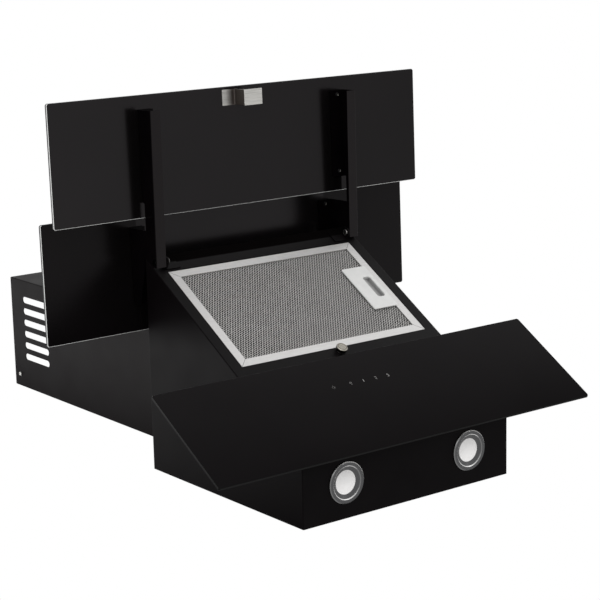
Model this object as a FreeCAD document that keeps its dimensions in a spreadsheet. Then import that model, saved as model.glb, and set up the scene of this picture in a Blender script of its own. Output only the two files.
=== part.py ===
import FreeCAD, Part
import math
import os
import Sketcher

Vector = FreeCAD.Vector

# Driving dimensions in millimetres and degrees; depth is out from the wall, height is above the lamp face.
sizes = {
    # canopy: a wedge of folded sheet with the lamp face below and the filter face sloping out above it
    "canopy_width": 335,
    "canopy_height": 327,
    "canopy_front_depth": 88,
    "slope": 31.2,
    "sheet": 1,
    "canopy_bend": 1.2,
    "back_flange": 12,
    # wall fixing: four holes in the back plate, with the origin at their centre
    "mount_height": 165,
    "mount_spacing_x": 250,
    "mount_spacing_z": 240,
    "mount_hole_radius": 4,
    # door hinge, measured from the upper edge of the sloping face
    "hinge_drop": 21.2,
    "hinge_rise": 9.35,
    "door_lean": 1.3,
    "pin_radius": 2,
    "pin_head_radius": 4,
    "pin_head_height": 2.2,
    "pin_end_radius": 3.6,
    "pin_end_height": 1.2,
    "running_clearance": 0.05,
    "end_float": 0.1,
    "ear_gap": 1.5,
    "ear_thickness": 2,
    "ear_radius": 6,
    "foot_width": 22,
    "foot_above": 17,
    "foot_below": 7,
    # three glass panels of one size
    "glass_width": 600,
    "glass_height": 159,
    "glass_thickness": 4,
    "glass_corner": 2,
    "glass_arris": 0.6,
    "control_glass_below": 14,
    "control_glass_standoff": 3.25,
    "lower_glass_overhang": 18.6,
    "lower_glass_rise": 23.2,
    "upper_glass_overlap": 3.2,
    "upper_glass_rise": 58.1,
    # door arms: channels folded from sheet, stepped back to the upper glass
    "arm_proud": 0.5,
    "arm_sheet": 1.5,
    "arm_bend": 1.2,
    "arm_flange": 15,
    "arm_rear_flange": 22,
    "arm_short": 1,
    "arm_toe_gap": 2.35,
    "arm_front_gap": 5.35,
    "arm_rim_gap": 1.85,
    "arm_flange_start": 76,
    "arm_relief": 4,
    "arm_step": 40,
    "arm_tail": 60,
    "arm_tail_depth": 16,
    "arm_top_clearance": 1.2,
    "bond_strip": 2,
    "bond_strip_inset": 2,
    "screw_clearance": 0.1,
    "strike_above_magnet": 4.4,
    "strike_width": 21,
    "strike_sheet": 1.2,
    "strike_foot": 20,
    "strike_bend": 1.5,
    "strike_face": 27,
    # magnet catch on the rim below the filter
    "magnet_below_filter": 7.9,
    "magnet_radius": 7.5,
    "magnet_thickness": 5,
    "magnet_chamfer": 0.7,
    "magnet_post_radius": 5,
    "magnet_post_height": 2.8,
    "magnet_gap": 0.3,
    # control strip behind the lower glass
    "carrier_margin": 4,
    "carrier_top": 5,
    "carrier_height": 130,
    "board_width": 150,
    "board_height": 26,
    "board_thickness": 1.6,
    "board_drop": 48.7,
    "board_clearance": 2,
    "lead_hole_width": 40,
    "lead_hole_height": 10,
    # grease filter cassette and the well that it sits in
    "filter_margin": 17,
    "filter_height": 186.6,
    "filter_thickness": 9,
    "filter_drop": 10.9,
    "filter_sink": 0.5,
    "filter_gap": 0.8,
    "filter_border": 12,
    "filter_wall": 1,
    "seat_ledge": 10,
    "mesh_front": 2,
    "mesh_gap": 0.2,
    "tab_width": 20,
    "tab_reach": 4.5,
    "tab_thickness": 2,
    "tab_spacing": 110,
    # sliding latch in the filter's right end
    "latch_plate_width": 40,
    "latch_plate_height": 83,
    "latch_plate_thickness": 1.5,
    "latch_plate_inset": 9.7,
    "latch_corner": 2,
    "latch_box_width": 33,
    "latch_box_height": 52,
    "latch_box_inset": 12.5,
    "latch_box_depth": 8,
    "latch_wall": 1.2,
    "finger_slot_width": 13,
    "finger_slot_height": 41,
    "finger_slot_inset": 15.5,
    "finger_slot_corner": 4,
    "scoop_inset": 1.5,
    "latch_gap": 0.2,
    "slider_width": 17,
    "slider_height": 45,
    "slider_thickness": 2,
    "slider_lip": 2.5,
    "slider_wall": 1.6,
    "tongue_width": 30,
    "tongue_reach": 5,
    "spring_leaf": 0.6,
    "spring_span": 28,
    # lamps in the lower face
    "lamp_inset": 67,
    "lamp_depth": 45.5,
    "lamp_radius": 26.5,
    "lamp_flange": 2,
    "lamp_barrel_radius": 23,
    "lamp_step_radius": 20.5,
    "lamp_step_depth": 1,
    "lens_radius": 15.3,
    "lens_depth": 3.5,
    "lens_thickness": 3,
    "lens_dome": 1.2,
    "lamp_hole_clearance": 0.5,
    "lamp_can_radius": 21,
    "lamp_can_height": 22,
    # blower: scroll in two halves, drum impeller and side motor
    "fan_depth": 112,
    "fan_height": 215,
    "fan_side_gap": 12,
    "fan_disc": 1.5,
    "fan_ring": 1.5,
    "blade_count": 22,
    "blade_depth": 10.5,
    "blade_curve": 18,
    "blade_sheet": 0.9,
    "blade_sweep": 16.5,
    "blade_pitch": 70,
    "hub_radius": 10,
    "hub_length": 28,
    "shaft_radius": 4,
    "shaft_in_motor": 34,
    "shaft_end": 20,
    "scroll_back": 20,
    "scroll_lift": 3,
    "scroll_rear_gap": 30,
    "scroll_front_gap": 18,
    "scroll_tongue_gap": 12,
    "scroll_seat_gap": 3.1,
    "tongue_angle": 60,
    "scroll_width": 120,
    "scroll_wall": 1.2,
    "inlet_step": 12,
    "inlet_lip": 4,
    "inlet_lip_wall": 2,
    "motor_radius": 42,
    "motor_length": 58,
    "motor_bell_radius": 34,
    "motor_bell_length": 14,
    "motor_standoff": 6,
    "motor_plate": 2,
    "motor_plate_hole": 9,
    "motor_post_gap": 10,
    "motor_post_radius": 3.5,
    # outlet collar with two non-return flaps
    "collar_radius": 59.5,
    "collar_wall": 1.5,
    "collar_height": 45,
    "collar_rim": 10.5,
    "flap_height": 20,
    "flap_sheet": 1.5,
    "flap_gap": 1,
    "flap_seat": 3,
    "flap_rest_gap": 0.3,
    "flap_sleeve_radius": 3.2,
    "flap_sleeve_length": 96,
    "rod_radius": 1.5,
    "rod_offset": 4.5,
    "rod_end_gap": 0.5,
    # chimney cover over the duct
    "chimney_width": 172,
    "chimney_depth": 172,
    "chimney_length": 523,
    "chimney_sheet": 1,
    "chimney_bend": 1.5,
    "chimney_return": 12,
    "vent_count": 6,
    "vent_length": 73,
    "vent_height": 10,
    "vent_pitch": 18.1,
    "vent_end": 36,
    "vent_first_depth": 51,
    "bracket_sheet": 1.5,
    "bracket_height": 24,
    "bracket_reach": 34,
    "bracket_end": 4,
    "bracket_hole_spacing": 100,
    "bracket_hole_radius": 3,
    "bracket_relief": 4,
    "chimney_screw_depth": 19,
    "chimney_screw_radius": 2,
    "chimney_hole_length": 9,
    # electronics box, board and mains gland
    "power_box_height": 78,
    "power_box_depth": 32,
    "power_box_wall": 2,
    "power_box_gap": 4,
    "power_box_margin": 15.5,
    "power_box_up": 118,
    "power_board_gap": 3,
    "power_board_boss": 5,
    "capacitor_width": 38,
    "capacitor_height": 26,
    "capacitor_depth": 18,
    "gland_depth": 24,
    "gland_radius": 5.5,
    "gland_bore": 3.5,
    "gland_flange_radius": 7.5,
    "gland_nose": 12,
    "gland_tail": 5,
}


class Size:
    """A dimension, or a sum worked out from dimensions, with its formula for the document."""

    def __init__(self, value, formula):
        self.value = value
        self.formula = formula

    def join(self, other, sign, value):
        return Size(value, f"({self.formula} {sign} {other.formula})")

    def __add__(self, other):
        other = as_size(other)
        return self.join(other, "+", self.value + other.value)

    def __sub__(self, other):
        other = as_size(other)
        return self.join(other, "-", self.value - other.value)

    def __mul__(self, other):
        other = as_size(other)
        return self.join(other, "*", self.value * other.value)

    def __truediv__(self, other):
        other = as_size(other)
        return self.join(other, "/", self.value / other.value)

    def __radd__(self, other):
        return as_size(other) + self

    def __rsub__(self, other):
        return as_size(other) - self

    def __rmul__(self, other):
        return as_size(other) * self

    def __neg__(self):
        return Size(-self.value, f"(0 - {self.formula})")


def as_size(value):
    return value if isinstance(value, Size) else Size(value, f"({value})")


def sine(angle):
    return Size(math.sin(math.radians(angle.value)), f"sin({angle.formula} * 1 deg)")


def cosine(angle):
    return Size(math.cos(math.radians(angle.value)), f"cos({angle.formula} * 1 deg)")


def square_root(size):
    return Size(math.sqrt(size.value), f"sqrt({size.formula})")


# The document, its sheet of dimensions and each dimension by name
doc = FreeCAD.newDocument("RangeHood")
sheet = doc.addObject("Spreadsheet::Sheet", "Dimensions")


class Dimensions:
    pass


dim = Dimensions()
for row, (alias, number) in enumerate(sizes.items(), start=1):
    sheet.set(f"A{row}", alias.replace("_", " "))
    sheet.set(f"B{row}", str(number))
    sheet.setAlias(f"B{row}", alias)
    setattr(dim, alias, Size(number, f"Dimensions.{alias}"))
doc.recompute()

nodes = []


def new_body(label):
    body = doc.addObject("PartDesign::Body", label)
    body.Label = label
    nodes.append(body)
    return body


def mirrored(source, label):
    """The other hand of a piece, across the middle plane of the hood."""
    twin = doc.addObject("Part::Mirroring", label)
    twin.Label = label
    twin.Source = source
    twin.Normal = Vector(1, 0, 0)
    nodes.append(twin)


def placement_formula(x, y, z, turn):
    """A place and a turn about the width of the hood."""
    x, y, z, turn = (as_size(part).formula for part in (x, y, z, turn))
    return f"placement(vector({x}; {y}; {z}); rotation(vector(1; 0; 0); {turn}))"


def origin_feature(body, role):
    return next(part for part in body.Origin.OriginFeatures if part.Role == role)


def sketch_on(body, plane, offset=0):
    """An empty sketch on one of the body's planes, offset along the plane's normal."""
    sketch = body.newObject("Sketcher::SketchObject", "Sketch")
    sketch.AttachmentSupport = [(origin_feature(body, plane), "")]
    sketch.MapMode = "FlatFace"
    sketch.setExpression("AttachmentOffset.Base.z", as_size(offset).formula)
    return sketch


def hold(sketch, kind, geometry, point, size):
    """Ties one coordinate of a sketch point to a formula."""
    size = as_size(size)
    index = sketch.addConstraint(Sketcher.Constraint(kind, -1, 1, geometry, point, size.value))
    sketch.setExpression(f"Constraints[{index}]", size.formula)


def outline(sketch, corners):
    """A closed outline of (x, y) corners; with a centre and a hand, an arc leaves the corner."""
    corners = [tuple(map(as_size, corner[:2])) + tuple(corner[2:]) for corner in corners]
    sides = []
    for corner, following in zip(corners, corners[1:] + corners[:1]):
        start = Vector(corner[0].value, corner[1].value)
        end = Vector(following[0].value, following[1].value)
        if len(corner) == 2:
            index = sketch.addGeometry(Part.LineSegment(start, end))
            sides.append((index, 1, 2))
            continue
        centre_x, centre_y = map(as_size, corner[2])
        centre = Vector(centre_x.value, centre_y.value)
        first, last = (start, end) if corner[3] else (end, start)
        angles = [math.atan2((p - centre).y, (p - centre).x) for p in (first, last)]
        circle_line = Part.Circle(centre, Vector(0, 0, 1), (start - centre).Length)
        index = sketch.addGeometry(Part.ArcOfCircle(circle_line, *angles))
        sides.append((index, 1, 2) if corner[3] else (index, 2, 1))
        if abs((end - start).x) < abs((end - start).y):
            hold(sketch, "DistanceX", index, 3, centre_x)
        else:
            hold(sketch, "DistanceY", index, 3, centre_y)
    for side, following in zip(sides, sides[1:] + sides[:1]):
        sketch.addConstraint(
            Sketcher.Constraint("Coincident", side[0], side[2], following[0], following[1])
        )
    for side, corner in zip(sides, corners):
        hold(sketch, "DistanceX", side[0], side[1], corner[0])
        hold(sketch, "DistanceY", side[0], side[1], corner[1])


def rectangle(sketch, left, right, low, high):
    outline(sketch, [(left, low), (right, low), (right, high), (left, high)])


def rounded_rectangle(sketch, left, right, low, high, radius):
    outline(
        sketch,
        [
            (left + radius, low),
            (right - radius, low, (right - radius, low + radius), True),
            (right, low + radius),
            (right, high - radius, (right - radius, high - radius), True),
            (right - radius, high),
            (left + radius, high, (left + radius, high - radius), True),
            (left, high - radius),
            (left, low + radius, (left + radius, low + radius), True),
        ],
    )


def long_hole(sketch, x, y, length, width, upright):
    """A round-ended slot about a centre, along the sketch's x or, upright, along its y."""
    radius = width / 2
    reach = length / 2 - radius
    if upright:
        low, high = y - reach, y + reach
        corners = [
            (x + radius, low),
            (x + radius, high, (x, high), True),
            (x - radius, high),
            (x - radius, low, (x, low), True),
        ]
    else:
        left, right = x - reach, x + reach
        corners = [
            (left, y - radius),
            (right, y - radius, (right, y), True),
            (right, y + radius),
            (left, y + radius, (left, y), True),
        ]
    outline(sketch, corners)


def circle(sketch, x, y, radius):
    x, y, radius = map(as_size, (x, y, radius))
    ring = Part.Circle(Vector(x.value, y.value), Vector(0, 0, 1), radius.value)
    index = sketch.addGeometry(ring)
    hold(sketch, "DistanceX", index, 3, x)
    hold(sketch, "DistanceY", index, 3, y)
    constraint = sketch.addConstraint(Sketcher.Constraint("Radius", index, radius.value))
    sketch.setExpression(f"Constraints[{constraint}]", radius.formula)


def extrude(body, kind, sketch, length, symmetric, reverse):
    feature = body.newObject(f"PartDesign::{kind}", kind)
    feature.Profile = sketch
    feature.setExpression("Length", as_size(length).formula)
    if symmetric:
        feature.SideType = "Symmetric"
    feature.Reversed = reverse
    doc.recompute()
    return feature


def pad(body, sketch, length, symmetric=False, backward=False):
    """Adds material along the sketch's normal, or against it when backward."""
    return extrude(body, "Pad", sketch, length, symmetric, backward)


def pocket(body, sketch, length, symmetric=False, forward=False):
    """Takes material away against the sketch's normal, or along it when forward."""
    before = body.Shape.Volume
    feature = extrude(body, "Pocket", sketch, length, symmetric, forward)
    if body.Shape.Volume > before - 1e-6:
        raise RuntimeError(f"{body.Label}: a pocket cuts nothing")
    return feature


def revolve(body, sketch, axis):
    feature = body.newObject("PartDesign::Revolution", "Revolution")
    feature.Profile = sketch
    feature.ReferenceAxis = (sketch, [axis])
    doc.recompute()
    return feature


def fillet(body, feature, radius, edges):
    """Rounds the straight edges that run between the given pairs of corners."""
    names = []
    for edge in edges:
        ends = [Vector(*(as_size(part).value for part in corner)) for corner in edge]
        for number, line in enumerate(feature.Shape.Edges, start=1):
            points = [vertex.Point for vertex in line.Vertexes]
            if all(min(end.distanceToPoint(point) for point in points) < 1e-4 for end in ends):
                names.append(f"Edge{number}")
    if len(names) != len(edges):
        raise RuntimeError(f"{body.Label}: an edge to round is missing")
    rounding = body.newObject("PartDesign::Fillet", "Fillet")
    rounding.Base = (feature, names)
    rounding.setExpression("Radius", as_size(radius).formula)
    doc.recompute()
    return rounding


def polar_pattern(body, features, role, count):
    pattern = body.newObject("PartDesign::PolarPattern", "Pattern")
    pattern.Originals = features
    pattern.Axis = (origin_feature(body, role), [""])
    pattern.setExpression("Occurrences", as_size(count).formula)
    body.Tip = pattern
    doc.recompute()
    return pattern


# Levels and lines that several pieces share, in the frame of the wall holes
half_width = dim.canopy_width / 2
run = sine(dim.slope) / cosine(dim.slope)
top_depth = dim.canopy_front_depth + dim.canopy_height * run
lamp_face = -dim.mount_height
canopy_top = dim.canopy_height - dim.mount_height
floor = lamp_face + dim.sheet
ceiling = canopy_top - dim.sheet
hinge_out = top_depth - dim.hinge_drop * sine(dim.slope) + dim.hinge_rise * cosine(dim.slope)
hinge_up = canopy_top - dim.hinge_drop * cosine(dim.slope) - dim.hinge_rise * sine(dim.slope)

# The sloping face's frame has its origin on the hinge axis, y up the slope and z outward from it.
rim = -dim.hinge_rise
filter_face = rim - dim.filter_sink
filter_half = half_width - dim.filter_margin
filter_top = -dim.filter_drop
filter_low = filter_top - dim.filter_height
filter_middle = filter_top - dim.filter_height / 2
magnet_line = filter_low - dim.magnet_below_filter
control_glass_top = magnet_line - dim.control_glass_below
control_glass_back = rim + dim.control_glass_standoff
board_line = control_glass_top - dim.board_drop

# The door uses the same frame, shut: its arms stand just outside the canopy's sides.
arm_outer = half_width + dim.arm_proud
arm_end = filter_low + dim.arm_short
ear_outer = arm_outer - dim.arm_flange - dim.ear_gap
ear_inner = ear_outer - dim.ear_thickness
lower_flange = dim.lower_glass_rise - dim.bond_strip
upper_flange = dim.upper_glass_rise - dim.bond_strip
lower_glass_top = arm_end - dim.lower_glass_overhang + dim.glass_height
upper_glass_top = lower_glass_top - dim.upper_glass_overlap + dim.glass_height


def on_slope(body):
    body.setExpression("Placement", placement_formula(0, -hinge_out, hinge_up, 90 + dim.slope))


def on_door(body):
    """The raised door: the slope's frame swung up about the hinge axis."""
    body.setExpression("Placement", placement_formula(0, -hinge_out, hinge_up, -dim.door_lean))


def slope_sketch(body):
    """A sketch in the sloping face's frame, in a body that stands square to the wall."""
    sketch = sketch_on(body, "XY_Plane")
    sketch.setExpression("AttachmentOffset.Base.z", None)
    sketch.setExpression(
        "AttachmentOffset", placement_formula(0, -hinge_out, hinge_up, 90 + dim.slope)
    )
    return sketch


# The scroll is as large as fits between the wall and the filter's seat, and the fan fills it.
fan_up = dim.fan_height - dim.mount_height
seat_room = dim.filter_sink + dim.filter_thickness + dim.sheet + dim.scroll_seat_gap
arc_step = dim.scroll_rear_gap - dim.scroll_front_gap
slant_up = (dim.fan_height + dim.scroll_lift - arc_step) * sine(dim.slope)
slant_out = (dim.canopy_front_depth - dim.scroll_back) * cosine(dim.slope)
rear_radius = (arc_step - seat_room + slant_up + slant_out) / (1 + cosine(dim.slope))
fan_radius = rear_radius - dim.scroll_rear_gap
front_radius = fan_radius + dim.scroll_front_gap
tongue_radius = fan_radius + dim.scroll_tongue_gap
inlet_radius = fan_radius - dim.inlet_step
fan_width = dim.scroll_width - 2 * dim.fan_side_gap

# Scroll outline, as distance out from the wall and height
scroll_front = dim.scroll_back + rear_radius + front_radius
tongue_centre_out = scroll_front - tongue_radius
scroll_turn_up = fan_up + dim.scroll_lift
scroll_low = scroll_turn_up - rear_radius
front_centre_up = scroll_low + front_radius
rear_centre_out = dim.scroll_back + rear_radius
tongue_out = tongue_centre_out + tongue_radius * cosine(dim.tongue_angle)
collar_out = (dim.scroll_back + tongue_out) / 2
collar_inner = dim.collar_radius - dim.collar_wall
chimney_side = dim.chimney_width / 2
gland_side = (dim.scroll_width / 2 + chimney_side - dim.chimney_sheet) / 2


def canopy_shell():
    body = new_body("canopy_shell")
    wedge = sketch_on(body, "YZ_Plane")
    front_low = -dim.canopy_front_depth
    outline(
        wedge,
        [(0, lamp_face), (0, canopy_top), (-top_depth, canopy_top), (front_low, lamp_face)],
    )
    solid = pad(body, wedge, dim.canopy_width, symmetric=True)
    folds = []
    for side in (-half_width, half_width):
        corners = [
            (side, 0, lamp_face),
            (side, front_low, lamp_face),
            (side, -top_depth, canopy_top),
            (side, 0, canopy_top),
        ]
        folds += zip(corners, corners[1:])
    fillet(body, solid, dim.canopy_bend, folds)
    hollow = sketch_on(body, "YZ_Plane")
    inset = dim.sheet / cosine(dim.slope)
    front_at_floor = dim.canopy_front_depth + dim.sheet * run - inset
    front_at_ceiling = top_depth - dim.sheet * run - inset
    outline(
        hollow,
        [
            (dim.sheet, floor),
            (dim.sheet, ceiling),
            (-front_at_ceiling, ceiling),
            (-front_at_floor, floor),
        ],
    )
    pocket(body, hollow, dim.canopy_width - 2 * dim.sheet, symmetric=True)
    through_rim = dim.hinge_rise + 2 * dim.sheet
    window = slope_sketch(body)
    reach = filter_half + dim.filter_gap
    rectangle(window, -reach, reach, filter_low - dim.filter_gap, filter_top + dim.filter_gap)
    pocket(body, window, through_rim)
    lead_hole = slope_sketch(body)
    rectangle(
        lead_hole,
        -dim.lead_hole_width / 2,
        dim.lead_hole_width / 2,
        board_line - dim.lead_hole_height / 2,
        board_line + dim.lead_hole_height / 2,
    )
    pocket(body, lead_hole, through_rim)
    lamp_holes = sketch_on(body, "XY_Plane", lamp_face)
    for side in (-1, 1):
        hole = dim.lamp_barrel_radius + dim.lamp_hole_clearance
        circle(lamp_holes, side * (half_width - dim.lamp_inset), -dim.lamp_depth, hole)
    pocket(body, lamp_holes, 2 * dim.sheet, forward=True)
    top_holes = sketch_on(body, "XY_Plane", canopy_top)
    circle(top_holes, 0, -collar_out, collar_inner)
    circle(top_holes, gland_side, -dim.gland_depth, dim.gland_radius + dim.screw_clearance)
    pocket(body, top_holes, 2 * dim.sheet)


def back_plate():
    """A tray that closes the canopy against the wall, its flanges inside the canopy's sheet."""
    body = new_body("back_plate")
    side = half_width - dim.sheet
    tray = sketch_on(body, "XZ_Plane")
    rectangle(tray, -side, side, floor, ceiling)
    pad(body, tray, dim.back_flange)
    hollow = sketch_on(body, "XZ_Plane", dim.back_flange)
    inner = side - dim.sheet
    rectangle(hollow, -inner, inner, floor + dim.sheet, ceiling - dim.sheet)
    pocket(body, hollow, dim.back_flange - dim.sheet)
    holes = sketch_on(body, "XZ_Plane")
    for x in (-1, 1):
        for z in (-1, 1):
            across, up = x * dim.mount_spacing_x / 2, z * dim.mount_spacing_z / 2
            circle(holes, across, up, dim.mount_hole_radius)
    pocket(body, holes, 2 * dim.sheet, forward=True)


def filter_seat():
    """The well under the filter window: side walls and a ledge that the cassette lies on."""
    body = new_body("filter_seat")
    on_slope(body)
    under_rim = rim - dim.sheet
    well_floor = filter_face - dim.filter_thickness
    well = filter_half + dim.filter_gap
    well_low, well_top = filter_low - dim.filter_gap, filter_top + dim.filter_gap
    wall = dim.sheet
    block = sketch_on(body, "XY_Plane", under_rim)
    rectangle(block, -well - wall, well + wall, well_low - wall, well_top + wall)
    pad(body, block, under_rim - well_floor + dim.sheet, backward=True)
    inside = sketch_on(body, "XY_Plane", under_rim)
    rectangle(inside, -well, well, well_low, well_top)
    pocket(body, inside, under_rim - well_floor)
    opening = sketch_on(body, "XY_Plane", under_rim)
    ledge = dim.seat_ledge
    rectangle(opening, -well + ledge, well - ledge, well_low + ledge, well_top - ledge)
    pocket(body, opening, 2 * dim.filter_thickness)
    keeper = sketch_on(body, "YZ_Plane", well - dim.sheet)
    tongue_slot(keeper)
    pocket(body, keeper, 3 * dim.sheet, forward=True)
    tab_slots = sketch_on(body, "YZ_Plane", -well + dim.sheet)
    for middle in tab_lines():
        half = dim.tab_width / 2 + dim.filter_gap
        low, high = tab_levels()
        rectangle(tab_slots, middle - half, middle + half, low - dim.latch_gap, high + dim.latch_gap)
    pocket(body, tab_slots, 3 * dim.sheet)


def tab_lines():
    return [filter_middle + side * dim.tab_spacing / 2 for side in (-1, 1)]


def tab_levels():
    low = filter_face - dim.filter_thickness / 2
    return low, low + dim.tab_thickness


# Latch levels, below the filter's face
latch_floor = filter_face - dim.latch_box_depth
slider_low = latch_floor + dim.latch_wall + dim.latch_gap
slider_high = slider_low + dim.slider_thickness
latch_box_right = filter_half - dim.latch_box_inset
latch_box_left = latch_box_right - dim.latch_box_width
slider_right = latch_box_right - dim.latch_wall - dim.latch_gap
slider_left = slider_right - dim.slider_width
tongue_end = filter_half + dim.filter_gap + dim.sheet + dim.tongue_reach


def tongue_slot(sketch):
    """The tongue's way through a wall, with clearance all round."""
    half = dim.tongue_width / 2 + dim.latch_gap
    rectangle(
        sketch,
        filter_middle - half,
        filter_middle + half,
        slider_low - dim.latch_gap,
        slider_high + dim.latch_gap,
    )


def filter_frame():
    """A channel bent round the mesh, open inward, with two fixed tabs at the left end."""
    body = new_body("filter_frame")
    on_slope(body)
    border = dim.filter_border
    ring = sketch_on(body, "XY_Plane", filter_face)
    rectangle(ring, -filter_half, filter_half, filter_low, filter_top)
    rectangle(
        ring, -filter_half + border, filter_half - border, filter_low + border, filter_top - border
    )
    pad(body, ring, dim.filter_thickness, backward=True)
    wall = dim.filter_wall
    channel = sketch_on(body, "XY_Plane", filter_face - wall)
    rectangle(channel, -filter_half + wall, filter_half - wall, filter_low + wall, filter_top - wall)
    pocket(body, channel, dim.filter_thickness - 2 * wall)
    tongue_way = sketch_on(body, "YZ_Plane", filter_half - 2 * wall)
    tongue_slot(tongue_way)
    pocket(body, tongue_way, 3 * wall, forward=True)
    tabs = sketch_on(body, "YZ_Plane", -filter_half)
    low, high = tab_levels()
    for middle in tab_lines():
        rectangle(tabs, middle - dim.tab_width / 2, middle + dim.tab_width / 2, low, high)
    pad(body, tabs, dim.tab_reach, backward=True)


def mesh_layer(label, top, thickness):
    """A layer of mesh inside the channel, cut away where the latch sits."""
    body = new_body(label)
    on_slope(body)
    gap = dim.mesh_gap
    across = filter_half - dim.filter_wall - gap
    low, high = filter_low + dim.filter_wall + gap, filter_top - dim.filter_wall - gap
    box_half = dim.latch_box_height / 2 + gap
    way_half = dim.tongue_width / 2 + dim.latch_gap + gap
    left, right = latch_box_left - gap, latch_box_right + gap
    layer = sketch_on(body, "XY_Plane", top)
    outline(
        layer,
        [
            (-across, low),
            (across, low),
            (across, filter_middle - way_half),
            (right, filter_middle - way_half),
            (right, filter_middle - box_half),
            (left, filter_middle - box_half),
            (left, filter_middle + box_half),
            (right, filter_middle + box_half),
            (right, filter_middle + way_half),
            (across, filter_middle + way_half),
            (across, high),
            (-across, high),
        ],
    )
    pad(body, layer, thickness, backward=True)


def filter_meshes():
    top = filter_face - dim.filter_wall
    mesh_layer("filter_mesh", top, dim.mesh_front)
    core = dim.filter_thickness - 2 * dim.filter_wall - dim.mesh_front
    mesh_layer("filter_core", top - dim.mesh_front, core)


def latch_housing():
    """A box let into the mesh, with the handle plate and its finger slot on top."""
    body = new_body("latch_housing")
    on_slope(body)
    half = dim.latch_box_height / 2
    wall = dim.latch_wall
    low, high = filter_middle - half, filter_middle + half
    box = sketch_on(body, "XY_Plane", filter_face)
    rectangle(box, latch_box_left, latch_box_right, low, high)
    pad(body, box, dim.latch_box_depth, backward=True)
    inside = sketch_on(body, "XY_Plane", filter_face)
    rectangle(inside, latch_box_left + wall, latch_box_right - wall, low + wall, high - wall)
    pocket(body, inside, dim.latch_box_depth - wall)
    tongue_way = sketch_on(body, "YZ_Plane", latch_box_right - 2 * wall)
    tongue_slot(tongue_way)
    pocket(body, tongue_way, 3 * wall, forward=True)
    plate = sketch_on(body, "XY_Plane", filter_face)
    plate_right = filter_half - dim.latch_plate_inset
    plate_half = dim.latch_plate_height / 2
    rounded_rectangle(
        plate,
        plate_right - dim.latch_plate_width,
        plate_right,
        filter_middle - plate_half,
        filter_middle + plate_half,
        dim.latch_corner,
    )
    slot_right = filter_half - dim.finger_slot_inset
    slot_half = dim.finger_slot_height / 2
    rounded_rectangle(
        plate,
        slot_right - dim.finger_slot_width,
        slot_right,
        filter_middle - slot_half,
        filter_middle + slot_half,
        dim.finger_slot_corner,
    )
    pad(body, plate, dim.latch_plate_thickness)


def latch_slider():
    """The tongue with a finger scoop, whose ramp a finger drags to the left."""
    body = new_body("latch_slider")
    on_slope(body)
    half = dim.slider_height / 2
    low, high = filter_middle - half, filter_middle + half
    tongue_half = dim.tongue_width / 2
    base = sketch_on(body, "XY_Plane", slider_low)
    outline(
        base,
        [
            (slider_left, low),
            (slider_right, low),
            (slider_right, filter_middle - tongue_half),
            (tongue_end, filter_middle - tongue_half),
            (tongue_end, filter_middle + tongue_half),
            (slider_right, filter_middle + tongue_half),
            (slider_right, high),
            (slider_left, high),
        ],
    )
    pad(body, base, dim.slider_thickness)
    top = filter_face - dim.latch_gap
    block = sketch_on(body, "XY_Plane", slider_low)
    rectangle(block, slider_left, slider_right, low, high)
    pad(body, block, top - slider_low)
    scoop_half = dim.finger_slot_height / 2 - dim.scoop_inset
    scoop_right = slider_right - dim.slider_wall
    scoop = sketch_on(body, "XZ_Plane", -filter_middle - scoop_half)
    outline(
        scoop,
        [
            (slider_left + dim.slider_lip, top),
            (scoop_right, slider_high),
            (scoop_right, filter_face),
            (slider_left + dim.slider_lip, filter_face),
        ],
    )
    pocket(body, scoop, 2 * scoop_half, forward=True)


def latch_spring():
    """A bent leaf between the box's left wall and the slider's lip."""
    body = new_body("latch_spring")
    on_slope(body)
    leaf = dim.spring_leaf
    left = latch_box_left + dim.latch_wall
    half = dim.spring_span / 2
    strip = sketch_on(body, "XY_Plane", slider_high)
    outline(
        strip,
        [
            (left, filter_middle - half),
            (left + 2 * leaf, filter_middle - half),
            (slider_left, filter_middle - leaf),
            (slider_left, filter_middle + leaf),
            (left + 2 * leaf, filter_middle + half),
            (left, filter_middle + half),
            (slider_left - 2 * leaf, filter_middle),
        ],
    )
    pad(body, strip, filter_face - dim.latch_gap - slider_high)


def glass_panel(label, place, top, back):
    """A sheet of toughened glass with cut corners and ground edges."""
    body = new_body(label)
    place(body)
    pane = sketch_on(body, "XY_Plane", back)
    half = dim.glass_width / 2
    low, cut = top - dim.glass_height, dim.glass_corner
    outline(
        pane,
        [
            (cut - half, low),
            (half - cut, low),
            (half, low + cut),
            (half, top - cut),
            (half - cut, top),
            (cut - half, top),
            (-half, top - cut),
            (-half, low + cut),
        ],
    )
    slab = pad(body, pane, dim.glass_thickness)
    faces = slab.Shape.Faces
    broad = max(face.Area for face in faces)
    names = [f"Face{n}" for n, face in enumerate(faces, start=1) if face.Area > broad - 1]
    arris = body.newObject("PartDesign::Chamfer", "Arris")
    arris.Base = (slab, names)
    arris.setExpression("Size", dim.glass_arris.formula)


def glass_panels():
    glass_panel("control_glass", on_slope, control_glass_top, control_glass_back)
    glass_panel("door_glass_lower", on_door, lower_glass_top, dim.lower_glass_rise)
    glass_panel("door_glass_upper", on_door, upper_glass_top, dim.upper_glass_rise)


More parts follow.
